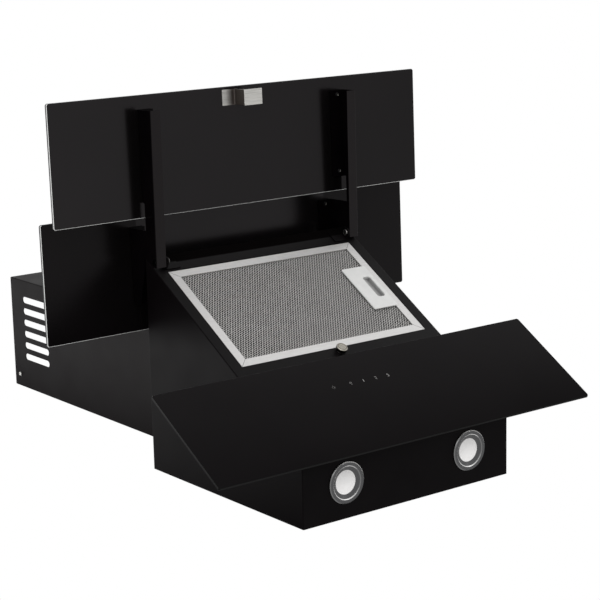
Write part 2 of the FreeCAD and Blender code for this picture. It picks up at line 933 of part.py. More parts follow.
def control_strip():
    """The carrier that bonds the lower glass to the canopy, and the touch board in its window."""
    carrier = new_body("glass_carrier")
    on_slope(carrier)
    top = control_glass_top - dim.carrier_top
    side = half_width - dim.carrier_margin
    half_board = dim.board_width / 2
    half_height = dim.board_height / 2
    gap = dim.board_clearance
    plate = sketch_on(carrier, "XY_Plane", rim)
    rectangle(plate, -side, side, top - dim.carrier_height, top)
    rectangle(
        plate,
        -half_board - gap,
        half_board + gap,
        board_line - half_height - gap,
        board_line + half_height + gap,
    )
    pad(carrier, plate, dim.control_glass_standoff)
    board = new_body("touch_board")
    on_slope(board)
    laminate = sketch_on(board, "XY_Plane", control_glass_back)
    rectangle(
        laminate, -half_board, half_board, board_line - half_height, board_line + half_height
    )
    pad(board, laminate, dim.board_thickness, backward=True)


def lamp(side, name):
    """A lamp that drops into the lower face: flanged bezel, domed lens and can."""
    x = side * (half_width - dim.lamp_inset)
    place = placement_formula(x, -dim.lamp_depth, lamp_face, 0)
    lens_low = -dim.lamp_flange + dim.lens_depth
    lens_high = lens_low + dim.lens_thickness

    bezel = new_body(f"lamp_bezel_{name}")
    bezel.setExpression("Placement", place)
    ring = sketch_on(bezel, "XZ_Plane")
    step_up = dim.lamp_step_depth - dim.lamp_flange
    outline(
        ring,
        [
            (dim.lens_radius, lens_low),
            (dim.lamp_step_radius, step_up),
            (dim.lamp_step_radius + dim.lamp_step_depth, -dim.lamp_flange),
            (dim.lamp_radius - dim.lamp_step_depth, -dim.lamp_flange),
            (dim.lamp_radius, step_up),
            (dim.lamp_radius, 0),
            (dim.lamp_barrel_radius, 0),
            (dim.lamp_barrel_radius, lens_high),
            (dim.lens_radius, lens_high),
        ],
    )
    revolve(bezel, ring, "V_Axis")

    lens = new_body(f"lamp_lens_{name}")
    lens.setExpression("Placement", place)
    disc = sketch_on(lens, "XZ_Plane")
    dome_low = lens_low - dim.lens_dome
    outline(
        disc,
        [
            (0, dome_low),
            (dim.lens_radius / 2, dome_low),
            (dim.lens_radius, lens_low),
            (dim.lens_radius, lens_high),
            (0, lens_high),
        ],
    )
    revolve(lens, disc, "V_Axis")

    can = new_body(f"lamp_can_{name}")
    can.setExpression("Placement", place)
    profile = sketch_on(can, "XZ_Plane")
    rectangle(profile, 0, dim.lamp_can_radius, lens_high, lens_high + dim.lamp_can_height)
    revolve(can, profile, "V_Axis")


def hinge_bracket():
    """A welded foot with an upright ear, and the headed pin riveted through the ear."""
    body = new_body("hinge_bracket_right")
    on_slope(body)
    foot = sketch_on(body, "XY_Plane", rim)
    rectangle(foot, ear_outer - dim.foot_width, ear_outer, -dim.foot_below, dim.foot_above)
    pad(body, foot, dim.arm_sheet)
    ear = sketch_on(body, "YZ_Plane", ear_inner)
    radius = dim.ear_radius
    outline(ear, [(-radius, rim), (radius, rim), (radius, 0, (0, 0), True), (-radius, 0)])
    circle(ear, 0, 0, dim.pin_radius)
    pad(body, ear, dim.ear_thickness)
    mirrored(body, "hinge_bracket_left")

    pin = new_body("hinge_pin_right")
    on_slope(pin)
    web_outer = arm_outer + dim.end_float
    head = ear_inner - dim.pin_head_height
    tip = web_outer + dim.pin_end_height
    profile = sketch_on(pin, "XY_Plane")
    outline(
        profile,
        [
            (head, 0),
            (tip, 0),
            (tip, dim.pin_end_radius),
            (web_outer, dim.pin_end_radius),
            (web_outer, dim.pin_radius),
            (ear_inner, dim.pin_radius),
            (ear_inner, dim.pin_head_radius),
            (head, dim.pin_head_radius),
        ],
    )
    revolve(pin, profile, "H_Axis")
    mirrored(pin, "hinge_pin_left")


def door_arm():
    """A channel with its web outside: front flange to the filter, rear flanges to the two glasses."""
    body = new_body("door_arm_right")
    on_door(body)
    metal = dim.arm_sheet
    toe, end = dim.hinge_rise - dim.arm_toe_gap, arm_end
    front, front_end = rim + dim.arm_front_gap, rim + dim.arm_rim_gap
    # the canopy's upper corner, seen from the hinge of the raised door, and the room left round it
    climb = dim.hinge_drop * cosine(dim.slope) + dim.hinge_rise * sine(dim.slope)
    reach = dim.hinge_drop * sine(dim.slope) - dim.hinge_rise * cosine(dim.slope)
    corner_out = climb * cosine(dim.door_lean) - reach * sine(dim.door_lean)
    corner_down = reach * cosine(dim.door_lean) + climb * sine(dim.door_lean)
    tail_front = corner_out + dim.arm_top_clearance
    web = sketch_on(body, "YZ_Plane", arm_outer)
    outline(
        web,
        [
            (toe, front),
            (toe, dim.ear_radius - dim.arm_top_clearance),
            (-corner_down - dim.arm_top_clearance, tail_front),
            (toe, tail_front),
            (dim.arm_tail, upper_flange - dim.arm_tail_depth),
            (dim.arm_tail, upper_flange),
            (-dim.arm_step, upper_flange),
            (-dim.arm_step, lower_flange - dim.arm_relief),
            (-dim.arm_flange_start, lower_flange - dim.arm_relief),
            (-dim.arm_flange_start, lower_flange),
            (end, lower_flange),
            (end, front_end),
        ],
    )
    circle(web, 0, 0, dim.pin_radius + dim.running_clearance)
    pad(body, web, metal, backward=True)
    flanges = sketch_on(body, "YZ_Plane", arm_outer)
    outline(
        flanges,
        [(toe, front), (toe, front + metal), (end, front_end + metal), (end, front_end)],
    )
    pad(body, flanges, dim.arm_flange, backward=True)
    rear = sketch_on(body, "YZ_Plane", arm_outer)
    rectangle(rear, end, -dim.arm_flange_start, lower_flange - metal, lower_flange)
    rectangle(rear, -dim.arm_step, dim.arm_tail, upper_flange - metal, upper_flange)
    channel = pad(body, rear, dim.arm_rear_flange, backward=True)
    folds = [
        ((arm_outer, toe, front), (arm_outer, end, front_end)),
        ((arm_outer, end, lower_flange), (arm_outer, -dim.arm_flange_start, lower_flange)),
        ((arm_outer, -dim.arm_step, upper_flange), (arm_outer, dim.arm_tail, upper_flange)),
    ]
    fillet(body, channel, dim.arm_bend, folds)
    mirrored(body, "door_arm_left")


def bond_strips():
    """Steel strips bonded to the glass, which the arms are screwed to."""
    inset = dim.bond_strip_inset
    spans = [
        ("glass_strips_lower", lower_flange, arm_end + inset, -dim.arm_flange_start - inset),
        ("glass_strips_upper", upper_flange, -dim.arm_step + inset, dim.arm_tail - inset),
    ]
    for label, level, low, high in spans:
        body = new_body(label)
        on_door(body)
        strips = sketch_on(body, "XY_Plane", level)
        for side in (-1, 1):
            near = side * (arm_outer - dim.arm_rear_flange + inset)
            far = side * (arm_outer - inset)
            rectangle(strips, near, far, low, high)
        pad(body, strips, dim.bond_strip)


def strike_plate():
    """A strip bent to stand off the lower glass and meet the magnet when the door is shut."""
    body = new_body("strike_plate")
    on_door(body)
    metal = dim.strike_sheet
    glass = dim.lower_glass_rise
    face = rim + dim.magnet_post_height + dim.magnet_thickness + dim.magnet_gap
    right = dim.strike_face / 2
    riser = -right - metal
    upper_edge = magnet_line + dim.strike_above_magnet + dim.strike_width / 2
    profile = sketch_on(body, "XZ_Plane", -upper_edge)
    outline(
        profile,
        [
            (riser - dim.strike_foot, glass),
            (riser - dim.strike_foot, glass - metal),
            (riser, glass - metal),
            (riser, face),
            (right, face),
            (right, face + metal),
            (riser + metal, face + metal),
            (riser + metal, glass),
        ],
    )
    strip = pad(body, profile, dim.strike_width)
    lower_edge = upper_edge - dim.strike_width
    bends = [
        (dim.strike_bend, [(riser, glass - metal), (riser + metal, face + metal)]),
        (dim.strike_bend + metal, [(riser + metal, glass), (riser, face)]),
    ]
    for radius, corners in bends:
        edges = [((x, upper_edge, z), (x, lower_edge, z)) for x, z in corners]
        strip = fillet(body, strip, radius, edges)


def catch():
    post = new_body("magnet_post")
    on_slope(post)
    stem = sketch_on(post, "XY_Plane", rim)
    circle(stem, 0, magnet_line, dim.magnet_post_radius)
    pad(post, stem, dim.magnet_post_height)
    magnet = new_body("catch_magnet")
    on_slope(magnet)
    disc = sketch_on(magnet, "XY_Plane", rim + dim.magnet_post_height)
    circle(disc, 0, magnet_line, dim.magnet_radius)
    pot = pad(magnet, disc, dim.magnet_thickness)
    faces = pot.Shape.Faces
    front = max(range(len(faces)), key=lambda n: faces[n].CenterOfMass.z)
    rounded = magnet.newObject("PartDesign::Chamfer", "Rim")
    rounded.Base = (pot, [f"Face{front + 1}"])
    rounded.setExpression("Size", dim.magnet_chamfer.formula)


def scroll_outline(sketch, inset, top):
    """The scroll's spiral in three arcs, from the outlet's rear wall round to the tongue."""
    rear = -dim.scroll_back - inset
    low = scroll_low + inset
    front = -scroll_front + inset
    lip_radius = tongue_radius - inset
    tongue_up = front_centre_up + lip_radius * sine(dim.tongue_angle)
    tongue = -tongue_centre_out - lip_radius * cosine(dim.tongue_angle)
    outline(
        sketch,
        [
            (rear, top),
            (tongue, top),
            (tongue, tongue_up, (-tongue_centre_out, front_centre_up), True),
            (front, front_centre_up, (-rear_centre_out, front_centre_up), True),
            (-rear_centre_out, low, (-rear_centre_out, scroll_turn_up), True),
            (rear, scroll_turn_up),
        ],
    )


def scroll_half():
    """One moulded half of the scroll, with a flared inlet in its side wall."""
    body = new_body("scroll_right")
    half = dim.scroll_width / 2
    skin = sketch_on(body, "YZ_Plane")
    scroll_outline(skin, 0, ceiling)
    pad(body, skin, half)
    hollow = sketch_on(body, "YZ_Plane")
    scroll_outline(hollow, dim.scroll_wall, ceiling + dim.scroll_wall)
    pocket(body, hollow, half - dim.scroll_wall, forward=True)
    lip = sketch_on(body, "YZ_Plane", half)
    circle(lip, -dim.fan_depth, fan_up, inlet_radius + dim.inlet_lip_wall)
    pad(body, lip, dim.inlet_lip)
    inlet = sketch_on(body, "YZ_Plane", half - 2 * dim.scroll_wall)
    circle(inlet, -dim.fan_depth, fan_up, inlet_radius)
    pocket(body, inlet, dim.inlet_lip + 3 * dim.scroll_wall, forward=True)
    mirrored(body, "scroll_left")


def at_fan(body):
    body.setExpression("Placement", placement_formula(0, -dim.fan_depth, fan_up, 0))


def impeller():
    """A drum of forward-curved blades on a middle disc, with a hub and two end rings."""
    body = new_body("impeller")
    at_fan(body)
    hub = sketch_on(body, "YZ_Plane")
    circle(hub, 0, 0, dim.hub_radius)
    circle(hub, 0, 0, dim.shaft_radius)
    pad(body, hub, dim.hub_length, symmetric=True)
    disc = sketch_on(body, "YZ_Plane")
    circle(disc, 0, 0, fan_radius)
    circle(disc, 0, 0, dim.hub_radius - dim.blade_sheet)
    pad(body, disc, dim.fan_disc, symmetric=True)
    # a blade is an arc about a point ahead of it, reaching from the inner to the outer radius
    middle = fan_radius - dim.blade_depth / 2
    centre = (
        middle + dim.blade_curve * cosine(dim.blade_pitch),
        dim.blade_curve * sine(dim.blade_pitch),
    )
    concave = dim.blade_curve - dim.blade_sheet / 2
    convex = dim.blade_curve + dim.blade_sheet / 2

    def blade_point(radius, angle):
        return centre[0] - radius * cosine(angle), centre[1] - radius * sine(angle)

    first = dim.blade_pitch - dim.blade_sweep
    last = dim.blade_pitch + dim.blade_sweep
    blade = sketch_on(body, "YZ_Plane")
    outline(
        blade,
        [
            (*blade_point(convex, first), centre, True),
            blade_point(convex, last),
            (*blade_point(concave, last), centre, False),
            blade_point(concave, first),
        ],
    )
    vane = pad(body, blade, fan_width, symmetric=True)
    polar_pattern(body, [vane], "X_Axis", dim.blade_count)
    for side in (-1, 1):
        ring = sketch_on(body, "YZ_Plane", side * (fan_width / 2 - dim.fan_ring))
        circle(ring, 0, 0, fan_radius)
        circle(ring, 0, 0, fan_radius - dim.blade_depth)
        pad(body, ring, dim.fan_ring, backward=side < 0)


# The motor stands off the left side of the scroll on a three-armed plate.
plate_face = -dim.scroll_width / 2 - dim.motor_standoff
motor_face = plate_face - dim.motor_plate


def motor():
    body = new_body("motor")
    at_fan(body)
    can = sketch_on(body, "YZ_Plane", motor_face)
    circle(can, 0, 0, dim.motor_radius)
    pad(body, can, dim.motor_length, backward=True)
    bell = sketch_on(body, "YZ_Plane", motor_face - dim.motor_length)
    circle(bell, 0, 0, dim.motor_bell_radius)
    pad(body, bell, dim.motor_bell_length, backward=True)
    bore = sketch_on(body, "YZ_Plane", motor_face)
    circle(bore, 0, 0, dim.shaft_radius + dim.running_clearance)
    pocket(body, bore, dim.shaft_in_motor + dim.end_float)

    shaft = new_body("motor_shaft")
    at_fan(shaft)
    rod = sketch_on(shaft, "YZ_Plane", motor_face - dim.shaft_in_motor)
    circle(rod, 0, 0, dim.shaft_radius)
    pad(shaft, rod, dim.shaft_in_motor - motor_face + dim.shaft_end)

    plate = new_body("motor_plate")
    at_fan(plate)
    disc = sketch_on(plate, "YZ_Plane", plate_face)
    circle(disc, 0, 0, dim.motor_radius)
    circle(disc, 0, 0, dim.motor_plate_hole)
    pad(plate, disc, dim.motor_plate, backward=True)
    arm = sketch_on(plate, "YZ_Plane", plate_face)
    arm_half = 2 * dim.motor_post_radius
    post_line = inlet_radius + dim.motor_post_gap
    rectangle(arm, -arm_half, arm_half, dim.motor_plate_hole * 2, post_line + arm_half)
    leg = pad(plate, arm, dim.motor_plate, backward=True)
    foot = sketch_on(plate, "YZ_Plane", plate_face)
    post_half = dim.motor_post_radius
    rectangle(foot, -post_half, post_half, post_line - post_half, post_line + post_half)
    post = pad(plate, foot, dim.motor_standoff)
    polar_pattern(plate, [leg, post], "X_Axis", 3)


def outlet_collar():
    """A flanged spigot over the outlet, its bore stepped to make the seat that the flaps close on."""
    body = new_body("outlet_collar")
    body.setExpression("Placement", placement_formula(0, -collar_out, canopy_top, 0))
    seat_radius = collar_inner - dim.flap_seat
    seat_top = dim.flap_height - dim.flap_sheet / 2 - dim.flap_rest_gap
    rim_radius = dim.collar_radius + dim.collar_rim
    profile = sketch_on(body, "XZ_Plane")
    outline(
        profile,
        [
            (seat_radius, 0),
            (rim_radius, 0),
            (rim_radius, dim.collar_wall),
            (dim.collar_radius, dim.collar_wall),
            (dim.collar_radius, dim.collar_height),
            (collar_inner, dim.collar_height),
            (collar_inner, seat_top),
            (seat_radius, seat_top),
        ],
    )
    revolve(body, profile, "V_Axis")
    rod_holes = sketch_on(body, "YZ_Plane")
    for side in (-1, 1):
        line, reach = side * dim.rod_offset, dim.rod_radius + dim.running_clearance
        low, high = dim.flap_height - reach, dim.flap_height + reach
        rectangle(rod_holes, line - reach, line + reach, low, high)
    pocket(body, rod_holes, 4 * dim.collar_radius, symmetric=True)

    rods = new_body("damper_rods")
    rods.setExpression("Placement", placement_formula(0, -collar_out, canopy_top, 0))
    ends = sketch_on(rods, "YZ_Plane")
    for side in (-1, 1):
        circle(ends, side * dim.rod_offset, dim.flap_height, dim.rod_radius)
    pad(rods, ends, 2 * (dim.collar_radius - dim.rod_end_gap), symmetric=True)


def damper_flap(side, name):
    """A half disc with a sleeve along its straight edge, lying shut on the seat ring."""
    body = new_body(f"damper_flap_{name}")
    body.setExpression("Placement", placement_formula(0, -collar_out, canopy_top, 0))
    radius = collar_inner - dim.flap_gap
    chord = square_root(radius * radius - dim.rod_offset * dim.rod_offset)
    line = side * dim.rod_offset
    leaf = sketch_on(body, "XY_Plane", dim.flap_height)
    outline(leaf, [(-chord, line), (chord, line, (0, 0), side > 0)])
    pad(body, leaf, dim.flap_sheet, symmetric=True)
    sleeve = sketch_on(body, "YZ_Plane")
    circle(sleeve, line, dim.flap_height, dim.flap_sleeve_radius)
    pad(body, sleeve, dim.flap_sleeve_length, symmetric=True)
    bore = sketch_on(body, "YZ_Plane")
    circle(bore, line, dim.flap_height, dim.rod_radius + dim.running_clearance)
    pocket(body, bore, 4 * dim.collar_radius, symmetric=True)


chimney_end = canopy_top + dim.chimney_length
bracket_low = chimney_end - dim.bracket_end - dim.bracket_height
chimney_screw_up = bracket_low + dim.bracket_height / 2


def chimney_cover():
    """A folded cover, open to the wall, with vents and screw slots in both sides."""
    body = new_body("chimney_cover")
    side = chimney_side
    skin = dim.chimney_sheet
    front = -dim.chimney_depth
    lip = side - dim.chimney_return
    turn = side - dim.chimney_bend
    turn_out = front + dim.chimney_bend
    section = sketch_on(body, "XY_Plane", canopy_top)
    outline(
        section,
        [
            (-side, 0),
            (-side, turn_out, (-turn, turn_out), True),
            (-turn, front),
            (turn, front, (turn, turn_out), True),
            (side, turn_out),
            (side, 0),
            (lip, 0),
            (lip, -skin),
            (side - skin, -skin),
            (side - skin, turn_out, (turn, turn_out), False),
            (turn, front + skin),
            (-turn, front + skin, (-turn, turn_out), False),
            (skin - side, turn_out),
            (skin - side, -skin),
            (-lip, -skin),
            (-lip, 0),
        ],
    )
    pad(body, section, dim.chimney_length)
    relief = sketch_on(body, "XZ_Plane")
    low, high = bracket_low - dim.bracket_relief, chimney_end + dim.bracket_relief
    for hand in (-1, 1):
        rectangle(relief, hand * (lip - skin), hand * (side - skin), low, high)
    pocket(body, relief, 2 * skin, forward=True)
    vents = sketch_on(body, "YZ_Plane")
    middle = chimney_end - dim.vent_end - dim.vent_length / 2
    for vent in range(sizes["vent_count"]):
        out = dim.vent_first_depth + vent * dim.vent_pitch
        long_hole(vents, -out, middle, dim.vent_length, dim.vent_height, upright=True)
    hole = 2 * (dim.chimney_screw_radius + dim.screw_clearance)
    long_hole(
        vents, -dim.chimney_screw_depth, chimney_screw_up, dim.chimney_hole_length, hole, upright=False
    )
    pocket(body, vents, 2 * dim.chimney_width, symmetric=True)


def chimney_bracket():
    """A strip on the wall with two bent ends, which the top of the cover is screwed to."""
    body = new_body("chimney_bracket")
    side = chimney_side - dim.chimney_sheet
    metal = dim.bracket_sheet
    section = sketch_on(body, "XY_Plane", bracket_low)
    outline(
        section,
        [
            (-side, 0),
            (-side, -dim.bracket_reach),
            (metal - side, -dim.bracket_reach),
            (metal - side, -metal),
            (side - metal, -metal),
            (side - metal, -dim.bracket_reach),
            (side, -dim.bracket_reach),
            (side, 0),
        ],
    )
    pad(body, section, dim.bracket_height)
    wall_holes = sketch_on(body, "XZ_Plane")
    for hand in (-1, 1):
        across = hand * dim.bracket_hole_spacing / 2
        circle(wall_holes, across, chimney_screw_up, dim.bracket_hole_radius)
    pocket(body, wall_holes, 2 * metal, forward=True)


def power_box():
    """The electronics box on the back plate: box, board on four bosses, capacitor and lid."""
    wall = dim.power_box_wall
    left = dim.scroll_width / 2 + dim.inlet_lip + dim.power_box_gap
    right = half_width - dim.power_box_margin
    low = dim.power_box_up - dim.mount_height
    high = low + dim.power_box_height
    seat = dim.sheet
    front = seat + dim.power_box_depth
    board_back = seat + wall + dim.power_board_boss
    board_front = board_back + dim.board_thickness
    inner = (left + wall, right - wall, low + wall, high - wall)

    box = new_body("power_box")
    block = sketch_on(box, "XZ_Plane", seat)
    rectangle(block, left, right, low, high)
    pad(box, block, dim.power_box_depth)
    hollow = sketch_on(box, "XZ_Plane", front)
    rectangle(hollow, *inner)
    pocket(box, hollow, dim.power_box_depth - wall)
    bosses = sketch_on(box, "XZ_Plane", seat + wall)
    inset = wall + dim.power_board_boss
    for x in (left + inset, right - inset):
        for z in (low + inset, high - inset):
            half = dim.power_board_boss / 2
            rectangle(bosses, x - half, x + half, z - half, z + half)
    pad(box, bosses, dim.power_board_boss)

    board = new_body("power_board")
    gap = dim.power_board_gap - wall
    laminate = sketch_on(board, "XZ_Plane", board_back)
    rectangle(laminate, inner[0] + gap, inner[1] - gap, inner[2] + gap, inner[3] - gap)
    pad(board, laminate, dim.board_thickness)

    capacitor = new_body("run_capacitor")
    case = sketch_on(capacitor, "XZ_Plane", board_front)
    across, up = (left + right) / 2, (low + high) / 2
    rectangle(
        case,
        across - dim.capacitor_width / 2,
        across + dim.capacitor_width / 2,
        up - dim.capacitor_height / 2,
        up + dim.capacitor_height / 2,
    )
    pad(capacitor, case, dim.capacitor_depth)

    lid = new_body("power_box_lid")
    cover = sketch_on(lid, "XZ_Plane", front)
    rectangle(cover, left, right, low, high)
    pad(lid, cover, wall)


def cable_gland():
    """The mains inlet: a bush through the canopy's top, inside the chimney cover."""
    body = new_body("cable_gland")
    body.setExpression(
        "Placement", placement_formula(gland_side, -dim.gland_depth, canopy_top, 0)
    )
    profile = sketch_on(body, "XZ_Plane")
    tail = -dim.sheet - dim.gland_tail
    outline(
        profile,
        [
            (dim.gland_bore, tail),
            (dim.gland_radius, tail),
            (dim.gland_radius, 0),
            (dim.gland_flange_radius, 0),
            (dim.gland_flange_radius, dim.gland_nose),
            (dim.gland_bore, dim.gland_nose),
        ],
    )
    revolve(body, profile, "V_Axis")


canopy_shell()
back_plate()
filter_seat()
filter_frame()
filter_meshes()
latch_housing()
latch_slider()
latch_spring()
glass_panels()
control_strip()
lamp(-1, "left")
lamp(1, "right")
hinge_bracket()
door_arm()
bond_strips()
strike_plate()
catch()
scroll_half()
impeller()
motor()
outlet_collar()
damper_flap(-1, "front")
damper_flap(1, "rear")
chimney_cover()
chimney_bracket()
power_box()
cable_gland()
doc.recompute()

for thing in doc.Objects:
    if {"Invalid", "Error"} & set(thing.State):
        raise RuntimeError(f"{thing.Label} failed: {thing.State}")
for node in nodes:
    if node.Shape.isNull() or not node.Shape.isValid():
        raise RuntimeError(f"{node.Label} has no sound shape")

os.makedirs("parts", exist_ok=True)
for node in nodes:
    node.Shape.exportStep(f"parts/{node.Label}.step")
print(len(nodes), "nodes written")
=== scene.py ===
import math

import bpy
from mathutils import Matrix, Vector


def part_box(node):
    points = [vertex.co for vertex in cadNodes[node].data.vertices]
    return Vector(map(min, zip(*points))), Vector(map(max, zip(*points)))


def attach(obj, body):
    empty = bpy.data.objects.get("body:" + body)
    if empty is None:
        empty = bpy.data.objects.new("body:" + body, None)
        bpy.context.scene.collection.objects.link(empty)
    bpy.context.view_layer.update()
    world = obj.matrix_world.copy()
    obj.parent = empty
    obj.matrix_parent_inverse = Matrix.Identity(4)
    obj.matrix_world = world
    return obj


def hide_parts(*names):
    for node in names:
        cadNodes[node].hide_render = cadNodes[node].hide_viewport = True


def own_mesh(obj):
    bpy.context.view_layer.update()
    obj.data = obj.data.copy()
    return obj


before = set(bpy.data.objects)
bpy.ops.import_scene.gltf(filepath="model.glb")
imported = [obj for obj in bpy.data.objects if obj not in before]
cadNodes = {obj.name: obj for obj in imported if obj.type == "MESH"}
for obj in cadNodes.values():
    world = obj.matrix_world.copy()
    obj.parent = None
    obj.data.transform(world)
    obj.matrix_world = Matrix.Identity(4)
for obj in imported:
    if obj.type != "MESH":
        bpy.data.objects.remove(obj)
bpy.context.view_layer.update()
mm = 0.001
print("frame: loaded", len(cadNodes), "CAD pieces")


def srgb(red, green, blue):
    parts = [c / 255 for c in (red, green, blue)]
    return tuple(c / 12.92 if c < 0.04045 else ((c + 0.055) / 1.055) ** 2.4 for c in parts) + (1.0,)


# the leaning faces: filter and control strip share one slope, the raised door has its own
slopeTurn = math.radians(121.2)
slopeUp = Vector((0, math.cos(slopeTurn), math.sin(slopeTurn)))
slopeOut = Vector((0, -math.sin(slopeTurn), math.cos(slopeTurn)))
doorTurn = math.radians(-1.3)
doorOut = Vector((0, -math.sin(doorTurn), math.cos(doorTurn)))


def slopePoints(node):
    points = [v.co for v in cadNodes[node].data.vertices]
    return [(p.x, p.dot(slopeUp), p.dot(slopeOut)) for p in points]


def spanOf(points):
    return [(min(axis), max(axis)) for axis in zip(*points)]


noiseSpan = (0.3, 0.7)  # where most of a noise's values lie


# node helpers that the finishes are wired from
def newFinish(name, fixed):
    mat = bpy.data.materials.new(name)
    mat.use_nodes = True
    tree = mat.node_tree
    shader = tree.nodes["Principled BSDF"]
    for socket, value in fixed.items():
        shader.inputs[socket].default_value = value
    return mat, tree, shader, tree.nodes.new("ShaderNodeTexCoord")


def wire(tree, shader, socket, value):
    tree.links.new(value, shader.inputs[socket])


def noiseOf(tree, coords, size, stretch=(1, 1, 1), detail=2.0):
    place = tree.nodes.new("ShaderNodeMapping")
    place.inputs["Scale"].default_value = stretch
    noise = tree.nodes.new("ShaderNodeTexNoise")
    noise.inputs["Scale"].default_value = 1 / size  # size of the blotches in metres
    noise.inputs["Detail"].default_value = detail
    tree.links.new(coords.outputs["Object"], place.inputs["Vector"])
    tree.links.new(place.outputs["Vector"], noise.inputs["Vector"])
    return noise.outputs["Fac"]


def cellsOf(tree, coords, size, feature="F1"):
    cells = tree.nodes.new("ShaderNodeTexVoronoi")
    cells.feature = feature
    cells.inputs["Scale"].default_value = 1 / size
    tree.links.new(coords.outputs["Object"], cells.inputs["Vector"])
    return cells


def rampOf(tree, factor, stops):
    ramp = tree.nodes.new("ShaderNodeValToRGB")
    marks = ramp.color_ramp.elements
    marks[0].position, marks[0].color = stops[0]
    marks[1].position, marks[1].color = stops[-1]
    for where, colour in stops[1:-1]:
        marks.new(where).color = colour
    tree.links.new(factor, ramp.inputs["Fac"])
    return ramp.outputs["Color"]


def shadesOf(tree, factor, first, second, span=noiseSpan):
    return rampOf(tree, factor, [(span[0], first), (span[1], second)])


def rangeOf(tree, factor, low, high, start=noiseSpan[0], stop=noiseSpan[1]):
    spread = tree.nodes.new("ShaderNodeMapRange")
    ends = {"From Min": start, "From Max": stop, "To Min": low, "To Max": high}
    for socket, value in ends.items():
        spread.inputs[socket].default_value = value
    tree.links.new(factor, spread.inputs["Value"])
    return spread.outputs["Result"]


def mathOf(tree, operation, first, second=None):
    step = tree.nodes.new("ShaderNodeMath")
    step.operation = operation
    for socket, value in zip(step.inputs, (first, second)):
        if isinstance(value, (int, float)):
            socket.default_value = value
        elif value is not None:
            tree.links.new(value, socket)
    return step.outputs["Value"]


def above(tree, value, least):
    return mathOf(tree, "GREATER_THAN", value, least)  # 1 where it is so, else 0


def below(tree, value, most):
    return mathOf(tree, "LESS_THAN", value, most)


def times(tree, first, second):
    return mathOf(tree, "MULTIPLY", first, second)


def squareSum(tree, first, second):
    return mathOf(tree, "ADD", times(tree, first, first), times(tree, second, second))


def mixOf(tree, factor, first, second):
    mix = tree.nodes.new("ShaderNodeMix")
    mix.data_type = "RGBA"
    tree.links.new(factor, mix.inputs["Factor"])
    for socket, value in zip([s for s in mix.inputs if s.type == "RGBA"], (first, second)):
        if isinstance(value, tuple):
            socket.default_value = value
        else:
            tree.links.new(value, socket)
    return [s for s in mix.outputs if s.type == "RGBA"][0]


def bumpOf(tree, shader, height, depth):
    bump = tree.nodes.new("ShaderNodeBump")
    bump.inputs["Distance"].default_value = depth
    tree.links.new(height, bump.inputs["Height"])
    wire(tree, shader, "Normal", bump.outputs["Normal"])


def along(tree, coords, direction, output="Object"):
    dot = tree.nodes.new("ShaderNodeVectorMath")
    dot.operation = "DOT_PRODUCT"
    dot.inputs[1].default_value = direction
    tree.links.new(coords.outputs[output], dot.inputs[0])
    return dot.outputs["Value"]  # metres that way, in the piece's own frame


def facing(tree, coords, direction):
    return along(tree, coords, direction, "Normal")  # 1 where the surface faces that way


def aside(tree, coords):
    return mathOf(tree, "ABSOLUTE", along(tree, coords, (1, 0, 0)))  # metres from the hood's middle


# painted sheen: gloss that changes along the piece, fitted to how the light falls on it
def sheenOf(tree, coords, spec, node):
    low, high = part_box(node)
    rise = Vector(spec["sheenRise"])
    start = spec["sheen"] - rise.dot(Vector(low) + Vector(high)) / 2  # sheen is the level at its middle
    level = mathOf(tree, "ADD", along(tree, coords, rise), start)
    return mathOf(tree, "MINIMUM", mathOf(tree, "MAXIMUM", level, 0.0), spec["sheenMost"])


def coloured(tree, coords, spec):
    blotch = noiseOf(tree, coords, spec["blotch"], spec.get("stretch", (1, 1, 1)), detail=3.0)
    return blotch, shadesOf(tree, blotch, spec["dark"], spec["light"])


def grained(tree, shader, coords, spec, blotch):
    wire(tree, shader, "Roughness", rangeOf(tree, blotch, *spec["rough"]))
    grain = noiseOf(tree, coords, spec["grain"], spec.get("grainStretch", (1, 1, 1)))
    bumpOf(tree, shader, grain, spec["grainDepth"])


def plainFinish(name, spec):
    mat, tree, shader, coords = newFinish(name, spec["fixed"])
    blotch, colour = coloured(tree, coords, spec)
    wire(tree, shader, "Base Color", colour)
    grained(tree, shader, coords, spec, blotch)
    return mat


blackSheet = {  # satin powder coat
    "dark": srgb(8, 6, 7),
    "light": srgb(11, 9, 10),
    "blotch": 0.045,
    "rough": (0.42, 0.5),
    "grain": 0.0011,
    "grainDepth": 0.000012,
    "fixed": {"Specular IOR Level": 0.028},
}
darkPlastic = {
    "dark": srgb(24, 24, 25),
    "light": srgb(31, 31, 32),
    "blotch": 0.02,
    "rough": (0.5, 0.6),
    "grain": 0.0006,
    "grainDepth": 0.00004,
    "fixed": {"Specular IOR Level": 0.3},
}
whitePlastic = {
    "dark": srgb(206, 205, 198),
    "light": srgb(218, 217, 211),
    "blotch": 0.03,
    "rough": (0.42, 0.52),
    "grain": 0.0008,
    "grainDepth": 0.00003,
    "fixed": {"Specular IOR Level": 0.4},
}
brightSteel = {  # drawn strip, grain along the hood's width
    "dark": srgb(166, 165, 161),
    "light": srgb(192, 191, 187),
    "blotch": 0.0014,
    "stretch": (0.05, 1, 1),
    "rough": (0.22, 0.34),
    "grain": 0.0005,
    "grainStretch": (0.05, 1, 1),
    "grainDepth": 0.000005,
    "fixed": {"Metallic": 1.0},
}
screwBlack = {
    "dark": srgb(10, 10, 10),
    "light": srgb(15, 15, 15),
    "blotch": 0.002,
    "rough": (0.3, 0.4),
    "grain": 0.0005,
    "grainDepth": 0.00002,
    "fixed": {"Specular IOR Level": 0.1},
}
